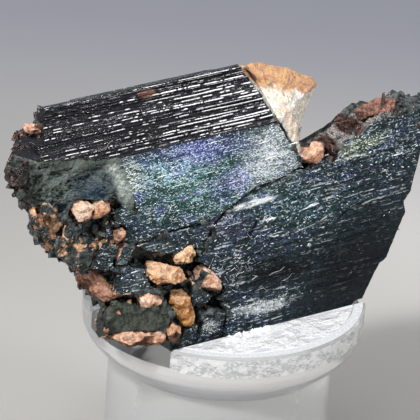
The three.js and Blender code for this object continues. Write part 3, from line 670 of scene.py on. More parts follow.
def splinter_face(recipe):
    """The splinters, each with its own brightness and hue from its stored shade; the bright ones are painted
    glints.
    """
    place = recipe.millimetres()
    play = recipe.group(play_of_colour, Place=place)
    marks = recipe.group(face_marks, Place=place)
    shade = recipe.stored("shade")
    hue = recipe.maths("FRACT", recipe.times(shade, 37.0))
    lit = recipe.times(play["Glitter"], 0.95)
    # Painted glints: the splinters that come out bright take the spark colour.
    bright = recipe.between(recipe.minus(lit, shade), -0.08, 0.2)
    sparkle = recipe.times(recipe.between(hue, 0.91, 0.96), recipe.between(play["Shaded"], 0, 0.5, 0.9, 0.12))
    colour = recipe.blend(recipe.between(hue, 0.2, 0.8), play["Middle"], play["Body"])
    tinted = recipe.blend(1.0, play["Middle"], play["Middle"], "ADD")
    spark = recipe.blend(recipe.between(hue, 0.35, 0.85, 0.0, 0.75), play["Spark"], tinted)
    colour = recipe.blend(bright, colour, spark)
    colour = recipe.blend(sparkle, colour, (0.9, 0.95, 0.97))
    return {
        "Base Color": marked(recipe, colour, play, marks),
        "Roughness": recipe.between(shade, 0, 1, 0.12, 0.34),
    }


def smooth_facet(recipe):
    """The bevelled end facet: grey-green clouds, a blue heart and a pale right edge painted as a sheen."""
    place = recipe.millimetres()
    cloud = recipe.noise(recipe.moved(place, (0.6, 1, 1), 40), 0.75, 8.0, 0.72, 0.3)
    mottle = recipe.between(recipe.noise(recipe.moved(place, (0.7, 1, 1), 30), 5.0, 5.0, 0.75), 0.5, 0.68)
    folds = recipe.noise(recipe.moved(place, (0.3, 1, 1), -8), 1.8, 5.0, 0.65, 0.2)
    fold = recipe.maths("ABSOLUTE", recipe.minus(folds, 0.5))
    blue = recipe.patch(place, (-21.2, -6.9, 39.2), (4.2, 4, 2.9), 20)
    top = recipe.patch(place, (-22.5, -7.0, 42.3), (5.5, 4, 1.3), 8)
    edge = recipe.most(
        recipe.patch(place, (-18.3, -7.4, 39.3), (3.8, 4, 1.0), -68),
        recipe.patch(place, (-19.3, -7.2, 41.2), (1.1, 4, 0.9)),
    )
    edge = recipe.times(edge, recipe.between(recipe.noise(place, 2.6, 6.0, 0.75), 0.32, 0.66))
    side = recipe.patch(place, (-28.5, -6, 40.2), (3.4, 6, 5))
    specks = recipe.group(strokes, Place=place, Density=0.32, Fineness=7.0)
    scratch = recipe.cells(recipe.moved(place, (0.3, 1, 0.5), 20), 0.6, "DISTANCE_TO_EDGE")
    colour = recipe.painted(
        recipe.blend(recipe.between(cloud, 0.44, 0.57), (0.002, 0.003, 0.003), (0.105, 0.125, 0.12)),
        (recipe.times(mottle, recipe.between(cloud, 0.42, 0.58, 0.1, 0.8)), (0.36, 0.42, 0.40)),
        (recipe.times(blue, 0.75), (0.018, 0.042, 0.075)),
        (recipe.between(fold, 0.03, 0.0, 0.0, 0.45), (0.27, 0.31, 0.27)),
        (recipe.times(top, recipe.between(folds, 0.42, 0.62, 0.0, 0.8)), (0.16, 0.19, 0.16)),
        # painted sheen along the pale right edge
        (edge, (0.74, 0.82, 0.74)),
        (recipe.between(side, 0, 0.6, 0.0, 0.55), (0.012, 0.014, 0.012)),
        (recipe.times(specks["Mask"], 0.7), (0.5, 0.6, 0.58)),
        (recipe.between(scratch, 0.018, 0.0, 0.0, 0.45), (0.004, 0.005, 0.005)),
        # painted shade round the clay lumps and in crevices
        (recipe.times(recipe.stored("painted_shade"), 0.9), (0.014, 0.006, 0.003)),
    )
    return {
        "Base Color": colour,
        "Roughness": recipe.between(cloud, 0.3, 0.7, 0.22, 0.4),
        "Normal": recipe.bump(recipe.noise(place, 2.4, 4.0, 0.6), 0.05),
    }


def furrowed_roof(recipe):
    """The nearly black roof with white glints along its furrows."""
    place = recipe.millimetres()
    dashes = recipe.noise(recipe.moved(place, (0.3, 1, 1)), 5.0, 2.0, 0.6)
    bands = recipe.noise(recipe.moved(place, (0.16, 1, 1)), 2.6, 3.0, 0.6)
    ragged = recipe.times(recipe.minus(recipe.noise(place, 5.0, 2.0), 0.5), 0.7)
    line = recipe.between(recipe.plus(recipe.stored("glint"), ragged), 0.3, 0.85)
    density = recipe.between(bands, 0.45, 0.75, 0.0, 0.35)
    specks = recipe.group(strokes, Place=place, Density=density, Fineness=6.5)
    glints = recipe.most(line, recipe.times(specks["Mask"], 0.4))
    brown = recipe.patch(place, (-12.5, -2.2, 45.6), (1.5, 3, 0.36))
    colour = recipe.painted(
        recipe.blend(recipe.between(bands, 0.4, 0.65), (0.002, 0.002, 0.003), (0.008, 0.007, 0.013)),
        (recipe.times(glints, 0.95), (1.0, 0.98, 1.0)),
        (recipe.between(brown, 0, 0.6, 0.0, 0.6), (0.26, 0.12, 0.08)),
    )
    return {
        "Base Color": colour,
        "Roughness": recipe.between(dashes, 0.3, 0.7, 0.36, 0.2),
        "Normal": recipe.bump(dashes, 0.03),
    }


# Two brown pits in the notch: their centre and radii.
NOTCH_PITS = [((6.8, -5.6, 37.2), (1.7, 3, 1.5)), ((9.8, -5.2, 39.0), (1.8, 3, 1.4))]


def broken_crystal(recipe):
    """Broken crystal: dark and speckled, smooth and green low on the left, rusty at the left knob, and
    brown-grey in the notch, with clay dust in its seams and painted shade in its crevices and round the
    clay."""
    place = recipe.millimetres()
    painted_shade = recipe.stored("painted_shade")
    mottle = recipe.noise(place, 1.3, 4.0, 0.65)
    veins = recipe.maths("ABSOLUTE", recipe.minus(recipe.noise(place, 1.6, 4.0, 0.6, 0.4), 0.5))
    smooth = recipe.between(recipe.patch(place, (-16.5, -6.5, 24.4), (6.2, 7, 3.6)), 0, 0.3)
    smooth_end = recipe.patch(place, (-19.3, -6, 23.3), (2.2, 5, 2.4))
    rim = recipe.between(recipe.patch(place, (10, -3, 39), (9, 8, 4.6), 18), 0, 0.5)
    knob = recipe.patch(place, (-29, -4, 42), (5.5, 9, 6))
    pits = [recipe.between(recipe.patch(place, *pit), 0, 0.35, 0.0, 0.95) for pit in NOTCH_PITS]
    density = recipe.plus(recipe.between(smooth, 0, 1, 0.34, 0.0), recipe.times(rim, 0.3))
    specks = recipe.group(strokes, Place=place, Density=density, Fineness=9.0)

    black = recipe.blend(recipe.between(mottle, 0.4, 0.68), (0.003, 0.005, 0.006), (0.085, 0.105, 0.10))
    grey = recipe.blend(recipe.between(mottle, 0.42, 0.6), (0.02, 0.015, 0.014), (0.22, 0.18, 0.165))
    green = recipe.blend(recipe.between(mottle, 0.4, 0.62), (0.010, 0.014, 0.013), (0.06, 0.072, 0.062))
    green = recipe.blend(recipe.between(veins, 0.03, 0.0, 0.0, 0.4), green, (0.20, 0.23, 0.15))
    rust = recipe.between(recipe.noise(place, 2.6, 4.0, 0.65), 0.54, 0.62)
    rust = recipe.blend(rust, (0.006, 0.005, 0.006), (0.17, 0.07, 0.045))
    brown = recipe.between(recipe.noise(place, 1.8, 3.0), 0.45, 0.6)
    brown = recipe.blend(brown, (0.012, 0.006, 0.005), (0.085, 0.035, 0.025))

    amount = recipe.between(recipe.along(place, (1, 0, 0)), -22, -3, 0.42, 0.2)
    for mask, gain in ((painted_shade, 0.3), (knob, -0.35), (smooth, -0.3)):
        amount = recipe.plus(amount, recipe.times(mask, gain))
    for path, width in CLAY_SEAMS:
        amount = recipe.plus(amount, recipe.times(recipe.line(place, path, width), 0.17))
    dust = recipe.group(clay_dust, Place=place, Amount=amount)
    cracks = [recipe.line(place, path, 0.55) for path in BLOCK_CRACKS]
    colour = recipe.painted(
        black,
        (recipe.times(rim, 0.8), grey),
        (specks["Mask"], recipe.blend(rim, (0.50, 0.60, 0.58), (0.50, 0.46, 0.44))),
        (smooth, green),
        (recipe.between(smooth_end, 0, 0.4, 0.0, 0.8), (0.006, 0.007, 0.007)),
        (recipe.between(knob, 0, 0.3, 0.0, 0.85), rust),
        (pits[0], brown),
        (pits[1], brown),
        (recipe.times(dust["Mask"], 0.92), dust["Color"]),
        # painted shade in crevices and round the clay lumps, together with the dark cracks
        (recipe.most(recipe.between(painted_shade, 0.35, 1.0, 0.0, 0.85), *cracks), (0.010, 0.005, 0.003)),
    )
    return {
        "Base Color": colour,
        "Roughness": recipe.between(dust["Mask"], 0, 1, 0.2, 0.8),
        "Normal": recipe.bump(recipe.noise(place, 4.0, 4.0, 0.65), 0.12),
    }


def plain_back(recipe):
    """The crystals' back: duller, with streaks along X."""
    place = recipe.millimetres()
    streaks = recipe.noise(recipe.moved(place, (0.14, 1, 1)), 2.2, 4.0, 0.65)
    specks = recipe.group(strokes, Place=place, Density=0.3, Fineness=4.0)
    dust = recipe.group(clay_dust, Place=place, Amount=0.2)
    colour = recipe.painted(
        recipe.blend(recipe.between(streaks, 0.35, 0.7), (0.006, 0.010, 0.014), (0.035, 0.055, 0.065)),
        (recipe.times(specks["Mask"], 0.6), (0.4, 0.5, 0.52)),
        (recipe.times(dust["Mask"], 0.6), dust["Color"]),
    )
    return {
        "Base Color": colour,
        "Roughness": recipe.between(streaks, 0.3, 0.7, 0.4, 0.22),
        "Normal": recipe.bump(streaks, 0.2),
    }


def wedge_colour(recipe, place, colour):
    """The wedge's clay with an orange top, a pale border to the crystal and grey-green grains."""
    uneven = recipe.times(recipe.minus(recipe.noise(place, 0.8, 4.0), 0.5), 2.4)
    top = recipe.plus(recipe.along(place, (0.38, 0, 1)), uneven)
    mottled = recipe.between(recipe.noise(place, 1.3, 5.0, 0.65), 0.4, 0.62)
    orange = recipe.blend(mottled, (0.70, 0.37, 0.13), (0.44, 0.16, 0.06))
    border = recipe.line(place, [(0.0, 45.2), (3.2, 38.4)], 1.0)
    grains = recipe.between(recipe.noise(place, 4.2, 3.0, 0.7), 0.53, 0.62)
    green = recipe.between(recipe.patch(place, (0.7, -3.6, 44.5), (1.5, 4, 0.6), -20), 0, 0.5)
    spot = recipe.patch(place, (-0.6, -1.6, 45.0), (0.9, 3, 0.6))
    return recipe.painted(
        colour,
        (recipe.times(border, 0.6), (0.95, 0.68, 0.50)),
        (recipe.times(grains, recipe.minus(1.0, border)), (0.48, 0.51, 0.45)),
        (recipe.times(green, recipe.between(mottled, 0.1, 0.6)), (0.20, 0.27, 0.22)),
        (recipe.between(top, 44.3, 44.8, 0.0, 0.85), orange),
        (recipe.between(spot, 0, 0.4), (0.10, 0.03, 0.015)),
    )


def clay_finish(light, deep, of_wedge=False):
    """A recipe for dry clay between a light and a deep colour."""

    def build(recipe):
        place = recipe.millimetres()
        made = recipe.group(
            earth,
            Place=place,
            Light=light,
            Deep=deep,
            # painted shade and a painted highlight, stored at the lump's points
            Hollow=recipe.stored("painted_shade"),
            Crest=recipe.stored("painted_highlight"),
            Stain=0.25 if of_wedge else 0.7,
        )
        return {
            "Base Color": wedge_colour(recipe, place, made["Color"]) if of_wedge else made["Color"],
            "Roughness": recipe.between(made["Height"], 0.2, 0.9, 0.95, 0.75),
            "Normal": recipe.bump(made["Height"], 0.3),
        }

    return build


def sawn_acrylic(recipe):
    """The saw cut: white blots and cut marks, clearer at the very edge."""
    place = recipe.millimetres()
    frost = recipe.noise(place, 3.2, 4.0, 0.75)
    cut = recipe.noise(recipe.moved(place, (0.25, 1, 1)), 1.6, 4.0, 0.7)
    blots = recipe.between(recipe.noise(place, 0.55, 4.0, 0.6), 0.44, 0.56)
    height = recipe.plus(recipe.times(frost, blots), cut)
    reach = recipe.vector("LENGTH", {0: recipe.vector("MULTIPLY", {0: place, 1: (1, 1, 0)})}, "Value")
    edge = recipe.between(reach, HEAD_RADIUS - 1.3, HEAD_RADIUS - 1.1)
    white = recipe.blend(blots, (0.66, 0.67, 0.69), (0.98, 0.98, 0.98))
    white = recipe.blend(recipe.between(cut, 0.5, 0.6, 0.0, 0.7), white, (0.97, 0.98, 0.99))
    return {
        "Base Color": recipe.blend(edge, white, (0.70, 0.71, 0.73)),
        "Roughness": recipe.between(frost, 0.35, 0.7, 0.08, 0.4),
        "Normal": recipe.bump(recipe.times(height, recipe.minus(1.0, edge)), 0.3),
    }


def rim_acrylic(recipe):
    """The head's turned rim, with white blots and speckle painted to stand for the sawn slot wall seen
    through it.
    """
    place = recipe.millimetres()
    blots = recipe.between(recipe.noise(recipe.moved(place, (0.8, 0.8, 1.1)), 0.8, 4.0, 0.6), 0.48, 0.56)
    speckle = recipe.noise(recipe.moved(place, (0.8, 0.8, 1.6)), 3.4, 5.0, 0.75)
    grey = recipe.blend(recipe.between(speckle, 0.4, 0.62), (0.50, 0.51, 0.53), (0.93, 0.94, 0.95))
    return {
        "Base Color": recipe.blend(blots, grey, (1.0, 1.0, 1.0)),
        "Roughness": recipe.between(speckle, 0.35, 0.7, 0.05, 0.3),
        "Normal": recipe.bump(speckle, 0.12),
    }


def slot_acrylic(recipe):
    """The slot's walls and floor, almost clear."""
    frost = recipe.noise(recipe.millimetres(), 1.2, 3.0)
    return {
        "Base Color": (0.97, 0.98, 0.99),
        "Roughness": recipe.between(frost, 0.35, 0.7, 0.03, 0.12),
        "Normal": recipe.bump(frost, 0.03),
    }


def polished_acrylic(recipe):
    """The polished stem and head, with the faint rings of the lathe."""
    rings = recipe.noise(recipe.moved(recipe.millimetres(), (0.06, 0.06, 1)), 1.4, 3.0)
    return {
        "Base Color": (0.98, 0.985, 0.99),
        "Roughness": recipe.between(rings, 0.3, 0.7, 0.02, 0.07),
        "Normal": recipe.bump(rings, 0.05),
    }


def white_crumb(recipe):
    """Plain white crumb and frost."""
    fine = recipe.noise(recipe.millimetres(), 4.0, 3.0)
    return {
        "Base Color": recipe.blend(fine, (0.9, 0.9, 0.9), (0.72, 0.72, 0.74)),
        "Roughness": recipe.between(fine, 0.3, 0.7, 0.3, 0.6),
        "Normal": recipe.bump(fine, 0.1),
    }


def pale_floor(recipe):
    """The floor: warm and pale in front, darker and bluer far back, with a painted pool of light and a
    painted shadow.
    """
    place = recipe.millimetres()
    far = recipe.between(recipe.along(place, (0.584, 0.811, 0)), 50, 125)
    soft = recipe.noise(place, 0.02, 2.0)
    warm = recipe.blend(soft, (0.345, 0.335, 0.318), (0.375, 0.363, 0.345))
    # A painted pool of light and a painted shadow.
    light_pool = recipe.patch(place, (60, 30, 0), (38, 38, 9))
    painted_shadow = recipe.patch(place, (8, 78, 0), (50, 50, 9))
    return {
        "Base Color": recipe.painted(
            warm,
            (far, (0.185, 0.19, 0.222)),
            (recipe.times(light_pool, 0.4), (0.52, 0.51, 0.50)),
            (recipe.times(painted_shadow, 0.45), (0.19, 0.187, 0.185)),
        ),
        "Roughness": recipe.between(soft, 0.3, 0.7, 0.75, 0.85),
    }


FACE = new_material("glittering_crystal", glittering_face, IOR=1.6, Specular_IOR_Level=0.1)
SPLINTER = new_material("crystal_splinters", splinter_face, IOR=1.6, Specular_IOR_Level=0.16)
FACET = new_material("smooth_green_facet", smooth_facet, IOR=1.6, Specular_IOR_Level=0.02)
ROOF = new_material("furrowed_roof", furrowed_roof, IOR=1.6)
BROKEN = new_material("broken_crystal", broken_crystal, IOR=1.6, Specular_IOR_Level=0.25)
BACK = new_material("plain_crystal_back", plain_back, IOR=1.6)
CLAY_CRUMBS = new_material("clay_crumbs", clay_finish((0.74, 0.46, 0.29), (0.30, 0.13, 0.06)))
SAWN = new_material("sawn_acrylic", sawn_acrylic, Transmission_Weight=0.12, IOR=1.49)
SLOT = new_material("sawn_slot", slot_acrylic, Transmission_Weight=1.0, IOR=1.03)
RIM = new_material("turned_rim", rim_acrylic, Transmission_Weight=0.45, IOR=1.3)
POLISHED = new_material("polished_acrylic", polished_acrylic, Transmission_Weight=0.74, IOR=1.3)
UNDERSIDE = new_material("frosted_underside", white_crumb)
FIBRE = new_material("pale_fibres", white_crumb)
CRUMB = new_material("white_crumbs", white_crumb)
FLOOR = new_material("pale_floor", pale_floor)


# ---------------------------------------------------------------- crystal body

# The front faces lie between these depths.
FRONT_NEAR = -7.75
FRONT_FAR = -7.3

FRONT_ZONE, FACET_ZONE, ROOF_ZONE, BROKEN_ZONE, BACK_ZONE = range(5)
LONGEST_EDGE = np.array([0.56, 0.8, 2.5, 0.5, 1.2])


def zones_of(points, faces):
    """Which finish each face of the crystals' solid has."""
    normal = face_normals(points, faces)
    middle = points[faces].mean(axis=1)
    x, y, z = middle.T
    zone = np.full(len(faces), BROKEN_ZONE)
    at_front = (y > FRONT_NEAR) & (y < FRONT_FAR)
    ledge = (x > -7) & (z < 38.5)
    broken_corner = (x < -11.3) & (z < 27.3)
    zone[at_front & ((normal[:, 1] < -0.97) | ledge) & ~broken_corner] = FRONT_ZONE
    facet = (normal @ FACET_NORMAL > 0.995) & (x < -17.5) & (z > 36) & (y < -6)
    side_facet = (normal @ SIDE_FACET_NORMAL > 0.99) & (x < -26)
    zone[facet | side_facet] = FACET_ZONE
    above = (middle - (0, UPPER_FRONT, EAVE_HEIGHT)) @ ROOF_OUT
    zone[(above > -0.12) & (above < 0.6) & (x > -27.8) & (x < 0.6) & (z > 42.2) & (y < -1.4)] = ROOF_ZONE
    zone[(normal[:, 1] > 0.5) & (y > 1.5) & (x > -20)] = BACK_ZONE
    zone[(z > 42.9) & (y >= -1.4) & (x > -23) & (x < 0)] = BACK_ZONE
    zone[(normal[:, 0] > 0.7) & (x > 11)] = BACK_ZONE
    return zone


# How far from a clay lump the crystal gets painted shade, and how far it is sunk there.
GAP_REACH = 0.9
GAP_DEPTH = 0.12
CLAY_STEP = np.array([0.45])


def gaps_and_shade_round_clay(points):
    """1 where the crystal meets a clay lump, most of all below it, fading to 0 at the gap's reach: there the
    crystal is sunk and given painted shade.
    """
    clay = []
    for node in CLAY_COLOURS:
        if node != "end_clay_wedge":
            some, faces = cad_mesh(node)
            tags = np.zeros(len(faces), dtype=np.int64)
            clay.append(split_edges(fitted(some, node), faces, tags, CLAY_STEP)[0])
    clay = np.concatenate(clay)
    tree = KDTree(len(clay))
    for number, point in enumerate(clay):
        tree.insert(point, number)
    tree.balance()
    near = np.all((points > clay.min(axis=0) - 1) & (points < clay.max(axis=0) + 1), axis=1)
    gap_and_shade = np.zeros(len(points))
    for number in np.flatnonzero(near):
        place, _, away = tree.find(points[number])
        below = min(max(0.4 + (place[2] - points[number][2]) * 1.2, 0.0), 1)
        gap_and_shade[number] = min(max((GAP_REACH - away) / 0.6, 0), 1) * below
    return gap_and_shade


def crystal_body():
    """The grown crystals and everything broken that still hangs on them."""
    points, faces = cad_mesh("crystal_cluster")
    points, faces, zone = split_edges(points, faces, zones_of(points, faces), LONGEST_EDGE)
    share = [at_points((zone == kind).astype(float), points, faces)[:, 0] for kind in range(5)]
    normal = point_normals(points, faces)

    silk = layered(points * (0.7, 1, 3.2), 11, 3) * 0.035
    swell = lumps(points * 0.35, 21) * 0.03
    chips, seam = chipped(points * (0.9, 1.1, 1.2), 31)
    small_chips, _ = chipped(points * (2.1, 2.3, 2.4), 41)
    crumble = chips * 0.14 + small_chips * 0.05 + layered(points * 1.4, 51, 3) * 0.04
    furrows = layered(points * (0.1, 1, 2.4), 61, 3) * 0.06
    crumble = crumble * (1 - 0.7 * np.clip(-normal[:, 1] * 4 - 2.8, 0, 1))
    relief = np.zeros(len(points))
    heights = {FRONT_ZONE: silk, FACET_ZONE: swell, BACK_ZONE: furrows, BROKEN_ZONE: crumble}
    for kind, height in heights.items():
        relief = relief + share[kind] * height
    # Painted shade round the clay lumps, most of all below them, where the crystal is also sunk.
    gap_and_shade = gaps_and_shade_round_clay(points)
    # Painted shade in the broken crystal's chip seams and low spots.
    painted_shade = np.clip(-chips * 0.5 + (0.16 - seam) * 2.2, 0, 1) * share[BROKEN_ZONE]
    painted_shade = np.maximum(painted_shade, gap_and_shade)
    points = points + normal * (relief - GAP_DEPTH * gap_and_shade)[:, None]

    # The roof's ribs make way for the finer furrows that cover them.
    above = (points - (0, UPPER_FRONT, EAVE_HEIGHT)) @ ROOF_OUT
    sunk = np.where(share[ROOF_ZONE] > 0.5, np.minimum(above, -ROOF_SUNK) - above, 0)
    points = points + sunk[:, None] * ROOF_OUT

    # Behind the notch the crystal lies lower.
    x, y, z = points.T
    low = np.clip((y + 3.9) / 1.4, 0, 1) * np.clip((x - 2) / 2, 0, 1) * np.clip((14.5 - x) / 2.5, 0, 1)
    low = low * np.clip((z - 33) / 2.5, 0, 1) * NOTCH_DROP
    points = inside_box(points - low[:, None] * (0, 0, 1))
    body = new_object(
        "crystal_body", points, faces, [FACE, FACET, ROOF, BROKEN, BACK], zones=zone, sharp=32,
        values={"painted_shade": painted_shade, "glint": np.zeros(len(points))},
    )
    return body, points, faces, zone


ROOF_ROWS = 128
ROOF_COLUMNS = 300
ROOF_SKIRT = 0.5


def roof_furrows():
    """The furrowed sloping face: many broken ridges along X, each with its own height and width."""
    random = np.random.default_rng(5)
    slope = np.linspace(0, ROOF_DEPTH * ROOF_STRETCH, ROOF_ROWS)
    share = slope / slope[-1]
    left = -27.5 + 4.3 * share + 0.5 * lumps_along(share * 9, 3)
    right = -0.75 - 0.094 * slope + 0.15 * lumps_along(share * 14, 4)
    across = np.linspace(0, 1, ROOF_COLUMNS)
    x = left[:, None] + (right - left)[:, None] * across[None, :]
    facet_top = (1.329 - 0.157 * (x + 27.1)) / 0.869
    side_facet_top = (1.158 - 0.5 * (x + 27.1)) / 0.757
    lowest = np.clip(np.maximum(facet_top, side_facet_top), 0, 4)
    s = lowest + (slope[-1] - lowest) * share[:, None]
    height = np.zeros_like(x)
    glint = np.zeros_like(x)
    brighter = np.interp(x, [-27, -20, -7, 0], [-0.62, -0.4, 0.1, 0.3])
    at = 0.1
    number = 0
    while at < slope[-1]:
        strong = random.random() < 0.45
        width = random.uniform(0.1, 0.15) if strong else random.uniform(0.07, 0.11)
        tall = random.uniform(0.12, 0.3)
        first = -29 if strong else random.uniform(-26, -10)
        shine = random.uniform(0.8, 1.0) if strong else random.uniform(0.55, 0.9)
        wander = at + 0.05 * lumps_along(x * 0.25, 200 + number)
        rise = np.clip(1 - np.abs(s - wander) / (width * (1 + 0.5 * brighter)), 0, 1)
        dash = 0.9 * lumps_along(x * 1.1, 300 + number) + 0.5 * lumps_along(x * 4.3, 500 + number)
        dash = dash + 0.6 * lumps_along(x * 0.4, 400 + number)
        dash = np.clip((dash + brighter + 0.35) * 2.0, 0, 1) * np.clip((x - first) / 2, 0, 1)
        height = np.maximum(height, np.clip(rise * 1.7, 0, 1) * tall * (0.5 + 0.5 * dash))
        glint = np.maximum(glint, dash * shine * rise)
        at += random.uniform(0.22, 0.40)
        number += 1
    flat = np.stack([x.ravel() * 1.6, s.ravel() * 6, np.zeros(x.size)], axis=1)
    height = height + (layered(flat, 71, 3) * 0.022).reshape(x.shape)
    place = np.stack([x, np.full_like(x, UPPER_FRONT), np.full_like(x, EAVE_HEIGHT)], axis=2)
    place = place + s[..., None] * ROOF_UP + height[..., None] * ROOF_OUT

    # A skirt all round joins it to the crystal below.
    place = np.pad(place, ((1, 1), (1, 1), (0, 0)), mode="edge")
    glint = np.pad(glint, 1)
    for edge in (np.s_[0, :], np.s_[-1, :], np.s_[:, 0], np.s_[:, -1]):
        place[edge] -= ROOF_SKIRT * ROOF_OUT
    place[0, :, 1] += 0.05
    rows, columns = place.shape[:2]
    index = np.arange(rows * columns).reshape(rows, columns)
    corners = [index[:-1, :-1], index[:-1, 1:], index[1:, 1:], index[1:, :-1]]
    faces = np.stack(corners, axis=-1).reshape(-1, 4)
    points = inside_box(place.reshape(-1, 3))
    return new_object("roof_furrows", points, faces, [ROOF], sharp=24, values={"glint": glint.ravel()})


# ---------------------------------------------------------------- small pieces scattered on faces

def hull_shape(name, corners):
    """A closed convex shape one unit across, to be repeated."""
    mesh = bpy.data.meshes.new(name)
    shape = bmesh.new()
    for corner in corners:
        shape.verts.new(corner)
    bmesh.ops.convex_hull(shape, input=shape.verts)
    bmesh.ops.dissolve_limit(shape, angle_limit=math.radians(4), verts=shape.verts, edges=shape.edges)
    bmesh.ops.recalc_face_normals(shape, faces=shape.faces)
    shape.to_mesh(mesh)
    shape.free()
    return linked(name, mesh)


def scatter_tree():
    """Geometry nodes that strew a shape over faces, each copy with its own turn, size and shade."""
    tree = bpy.data.node_groups.new("strewn pieces", "GeometryNodeTree")
    for title, kind in (
        ("Ground", "Geometry"),
        ("Shape", "Object"),
        ("Per square mm", "Float"),
        ("Smallest", "Vector"),
        ("Largest", "Vector"),
        ("Turn", "Vector"),
        ("Lean", "Vector"),
        ("Seed", "Int"),
        ("Finish", "Material"),
    ):
        tree.interface.new_socket(title, in_out="INPUT", socket_type="NodeSocket" + kind)
    tree.interface.new_socket("Pieces", in_out="OUTPUT", socket_type="NodeSocketGeometry")
    recipe = Recipe(tree)
    given = recipe.node("NodeGroupInput").outputs
    seed = given["Seed"]
    cover = recipe.node("GeometryNodeInputNamedAttribute", {"Name": "cover"}, data_type="FLOAT")
    per_m2 = recipe.times(given["Per square mm"], 1 / MM ** 2)
    spots = recipe.node(
        "GeometryNodeDistributePointsOnFaces",
        {"Mesh": given["Ground"], "Density": recipe.times(per_m2, cover.outputs["Attribute"]), "Seed": seed},
        distribute_method="RANDOM",
    )
    shape = recipe.node("GeometryNodeObjectInfo", {"Object": given["Shape"]})
    limits = {0: given["Smallest"], 1: given["Largest"], "Seed": seed}
    size = recipe.node("FunctionNodeRandomValue", limits, data_type="FLOAT_VECTOR")
    back = recipe.vector("SCALE", {0: given["Turn"], "Scale": -1})
    limits = {0: back, 1: given["Turn"], "Seed": recipe.plus(seed, 1)}
    turn = recipe.node("FunctionNodeRandomValue", limits, data_type="FLOAT_VECTOR")
    copies = recipe.node("GeometryNodeInstanceOnPoints", {
        "Points": spots.outputs["Points"],
        "Instance": shape.outputs["Geometry"],
        "Rotation": recipe.vector("ADD", {0: turn.outputs[0], 1: given["Lean"]}),
        "Scale": size.outputs[0],
    })
    shade = recipe.node("FunctionNodeRandomValue", {"Seed": seed}, data_type="FLOAT")
    kept = recipe.node(
        "GeometryNodeStoreNamedAttribute",
        {"Geometry": copies.outputs[0], "Name": "shade", "Value": shade.outputs[1]},
        data_type="FLOAT",
        domain="INSTANCE",
    )
    real = recipe.node("GeometryNodeRealizeInstances", {0: kept.outputs[0]})
    finish = {"Geometry": real.outputs[0], "Material": given["Finish"]}
    finished = recipe.node("GeometryNodeSetMaterial", finish)
    recipe.node("NodeGroupOutput", {0: finished.outputs[0]})
    return tree


STREWN = scatter_tree()


def strewn(name, ground, shape, per_mm2, smallest, largest, turn, lean, seed, finish):
    """Pieces strewn over ground, given as (points, faces, cover at each point), as one plain mesh.
    Sizes are in mm and turns in degrees."""
    points, faces, cover = ground
    host = new_object(name + "_ground", points, faces, [], values={"cover": cover})
    modifier = host.modifiers.new("strewn", "NODES")
    modifier.node_group = STREWN
    values = {
        "Shape": shape,
        "Per square mm": float(per_mm2),
        "Smallest": [side * MM for side in smallest],
        "Largest": [side * MM for side in largest],
        "Turn": [math.radians(angle) for angle in turn],
        "Lean": [math.radians(angle) for angle in lean],
        "Seed": seed,
        "Finish": finish,
    }
    for socket in STREWN.interface.items_tree:
        if socket.in_out == "INPUT" and socket.name in values:
            modifier[socket.identifier] = values[socket.name]
    bpy.context.view_layer.update()
    mesh = bpy.data.meshes.new_from_object(host.evaluated_get(bpy.context.evaluated_depsgraph_get()))
    bpy.data.objects.remove(host)
    mesh.name = name
    points = np.empty(len(mesh.vertices) * 3)
    mesh.vertices.foreach_get("co", points)
    mesh.vertices.foreach_set("co", (inside_box(points.reshape(-1, 3) / MM) * MM).ravel())
    mesh.update()
    return linked(name, mesh)


def part_of(points, faces, normals, chosen, cover):
    """The chosen faces with the points they use; cover says how thickly each point is covered."""
    used, renumbered = np.unique(faces[chosen], return_inverse=True)
    return points[used], renumbered.reshape(-1, 3), cover(points[used], normals[used])


def near_path(points, path):
    """How far points are from a path of (x, z) places."""
    at = points[:, [0, 2]]
    nearest = np.full(len(at), np.inf)
    for start, end in zip(np.array(path), np.array(path)[1:]):
        run = end - start
        share = np.clip((at - start) @ run / (run @ run), 0, 1)
        nearest = np.minimum(nearest, np.linalg.norm(at - start - share[:, None] * run, axis=1))
    return nearest


def front_cover(points, _):
    """The glittering crust is thin at the lower right and thick on the upper crystal."""
    x, _, z = points.T
    clear = np.min([near_path(points, path) for path in (SEAM, LEFT_SEAM, BRANCH)], axis=0)
    upper = 1 / (1 + np.exp(-(z - 34.5 - 0.16 * x) * 1.2))
    fading = np.clip((z - 21 - 0.55 * (x - 4)) / 8, 0.12, 1)
    return np.clip(0.55 * fading + 0.45 * upper, 0, 1) * np.clip(clear / 0.4, 0.1, 1)


def blade_cover(points, normals):
    """Long blades keep away from the crystals' right edge."""
    levels = np.arange(21, 42)
    rightmost = [points[np.abs(points[:, 2] - level) < 0.5, 0].max() for level in levels]
    room = np.interp(points[:, 2], levels, rightmost) - points[:, 0] - 1.2
    return front_cover(points, normals) * np.clip(room, 0, 1)


def fibre_cover(points, _):
    """Fine fibres lie about one place on the lower crystal."""
    x, _, z = points.T
    return np.clip(1.2 - np.hypot((x + 4.6) / 4.2, (z - 27.2) / 2.6), 0, 1)


def broken_cover(points, normals):
    """Chips lie thinly on what faces forwards, and hardly at all behind the notch."""
    behind_notch = (points[:, 0] > 2) & (points[:, 1] > -3.6)
    return np.clip(4.2 + normals[:, 1] * 4.4, 0.12, 1) * np.where(behind_notch, 0.05, 1)


def even_cover(points, _):
    """The same everywhere."""
    return np.ones(len(points))


# ---------------------------------------------------------------- clay

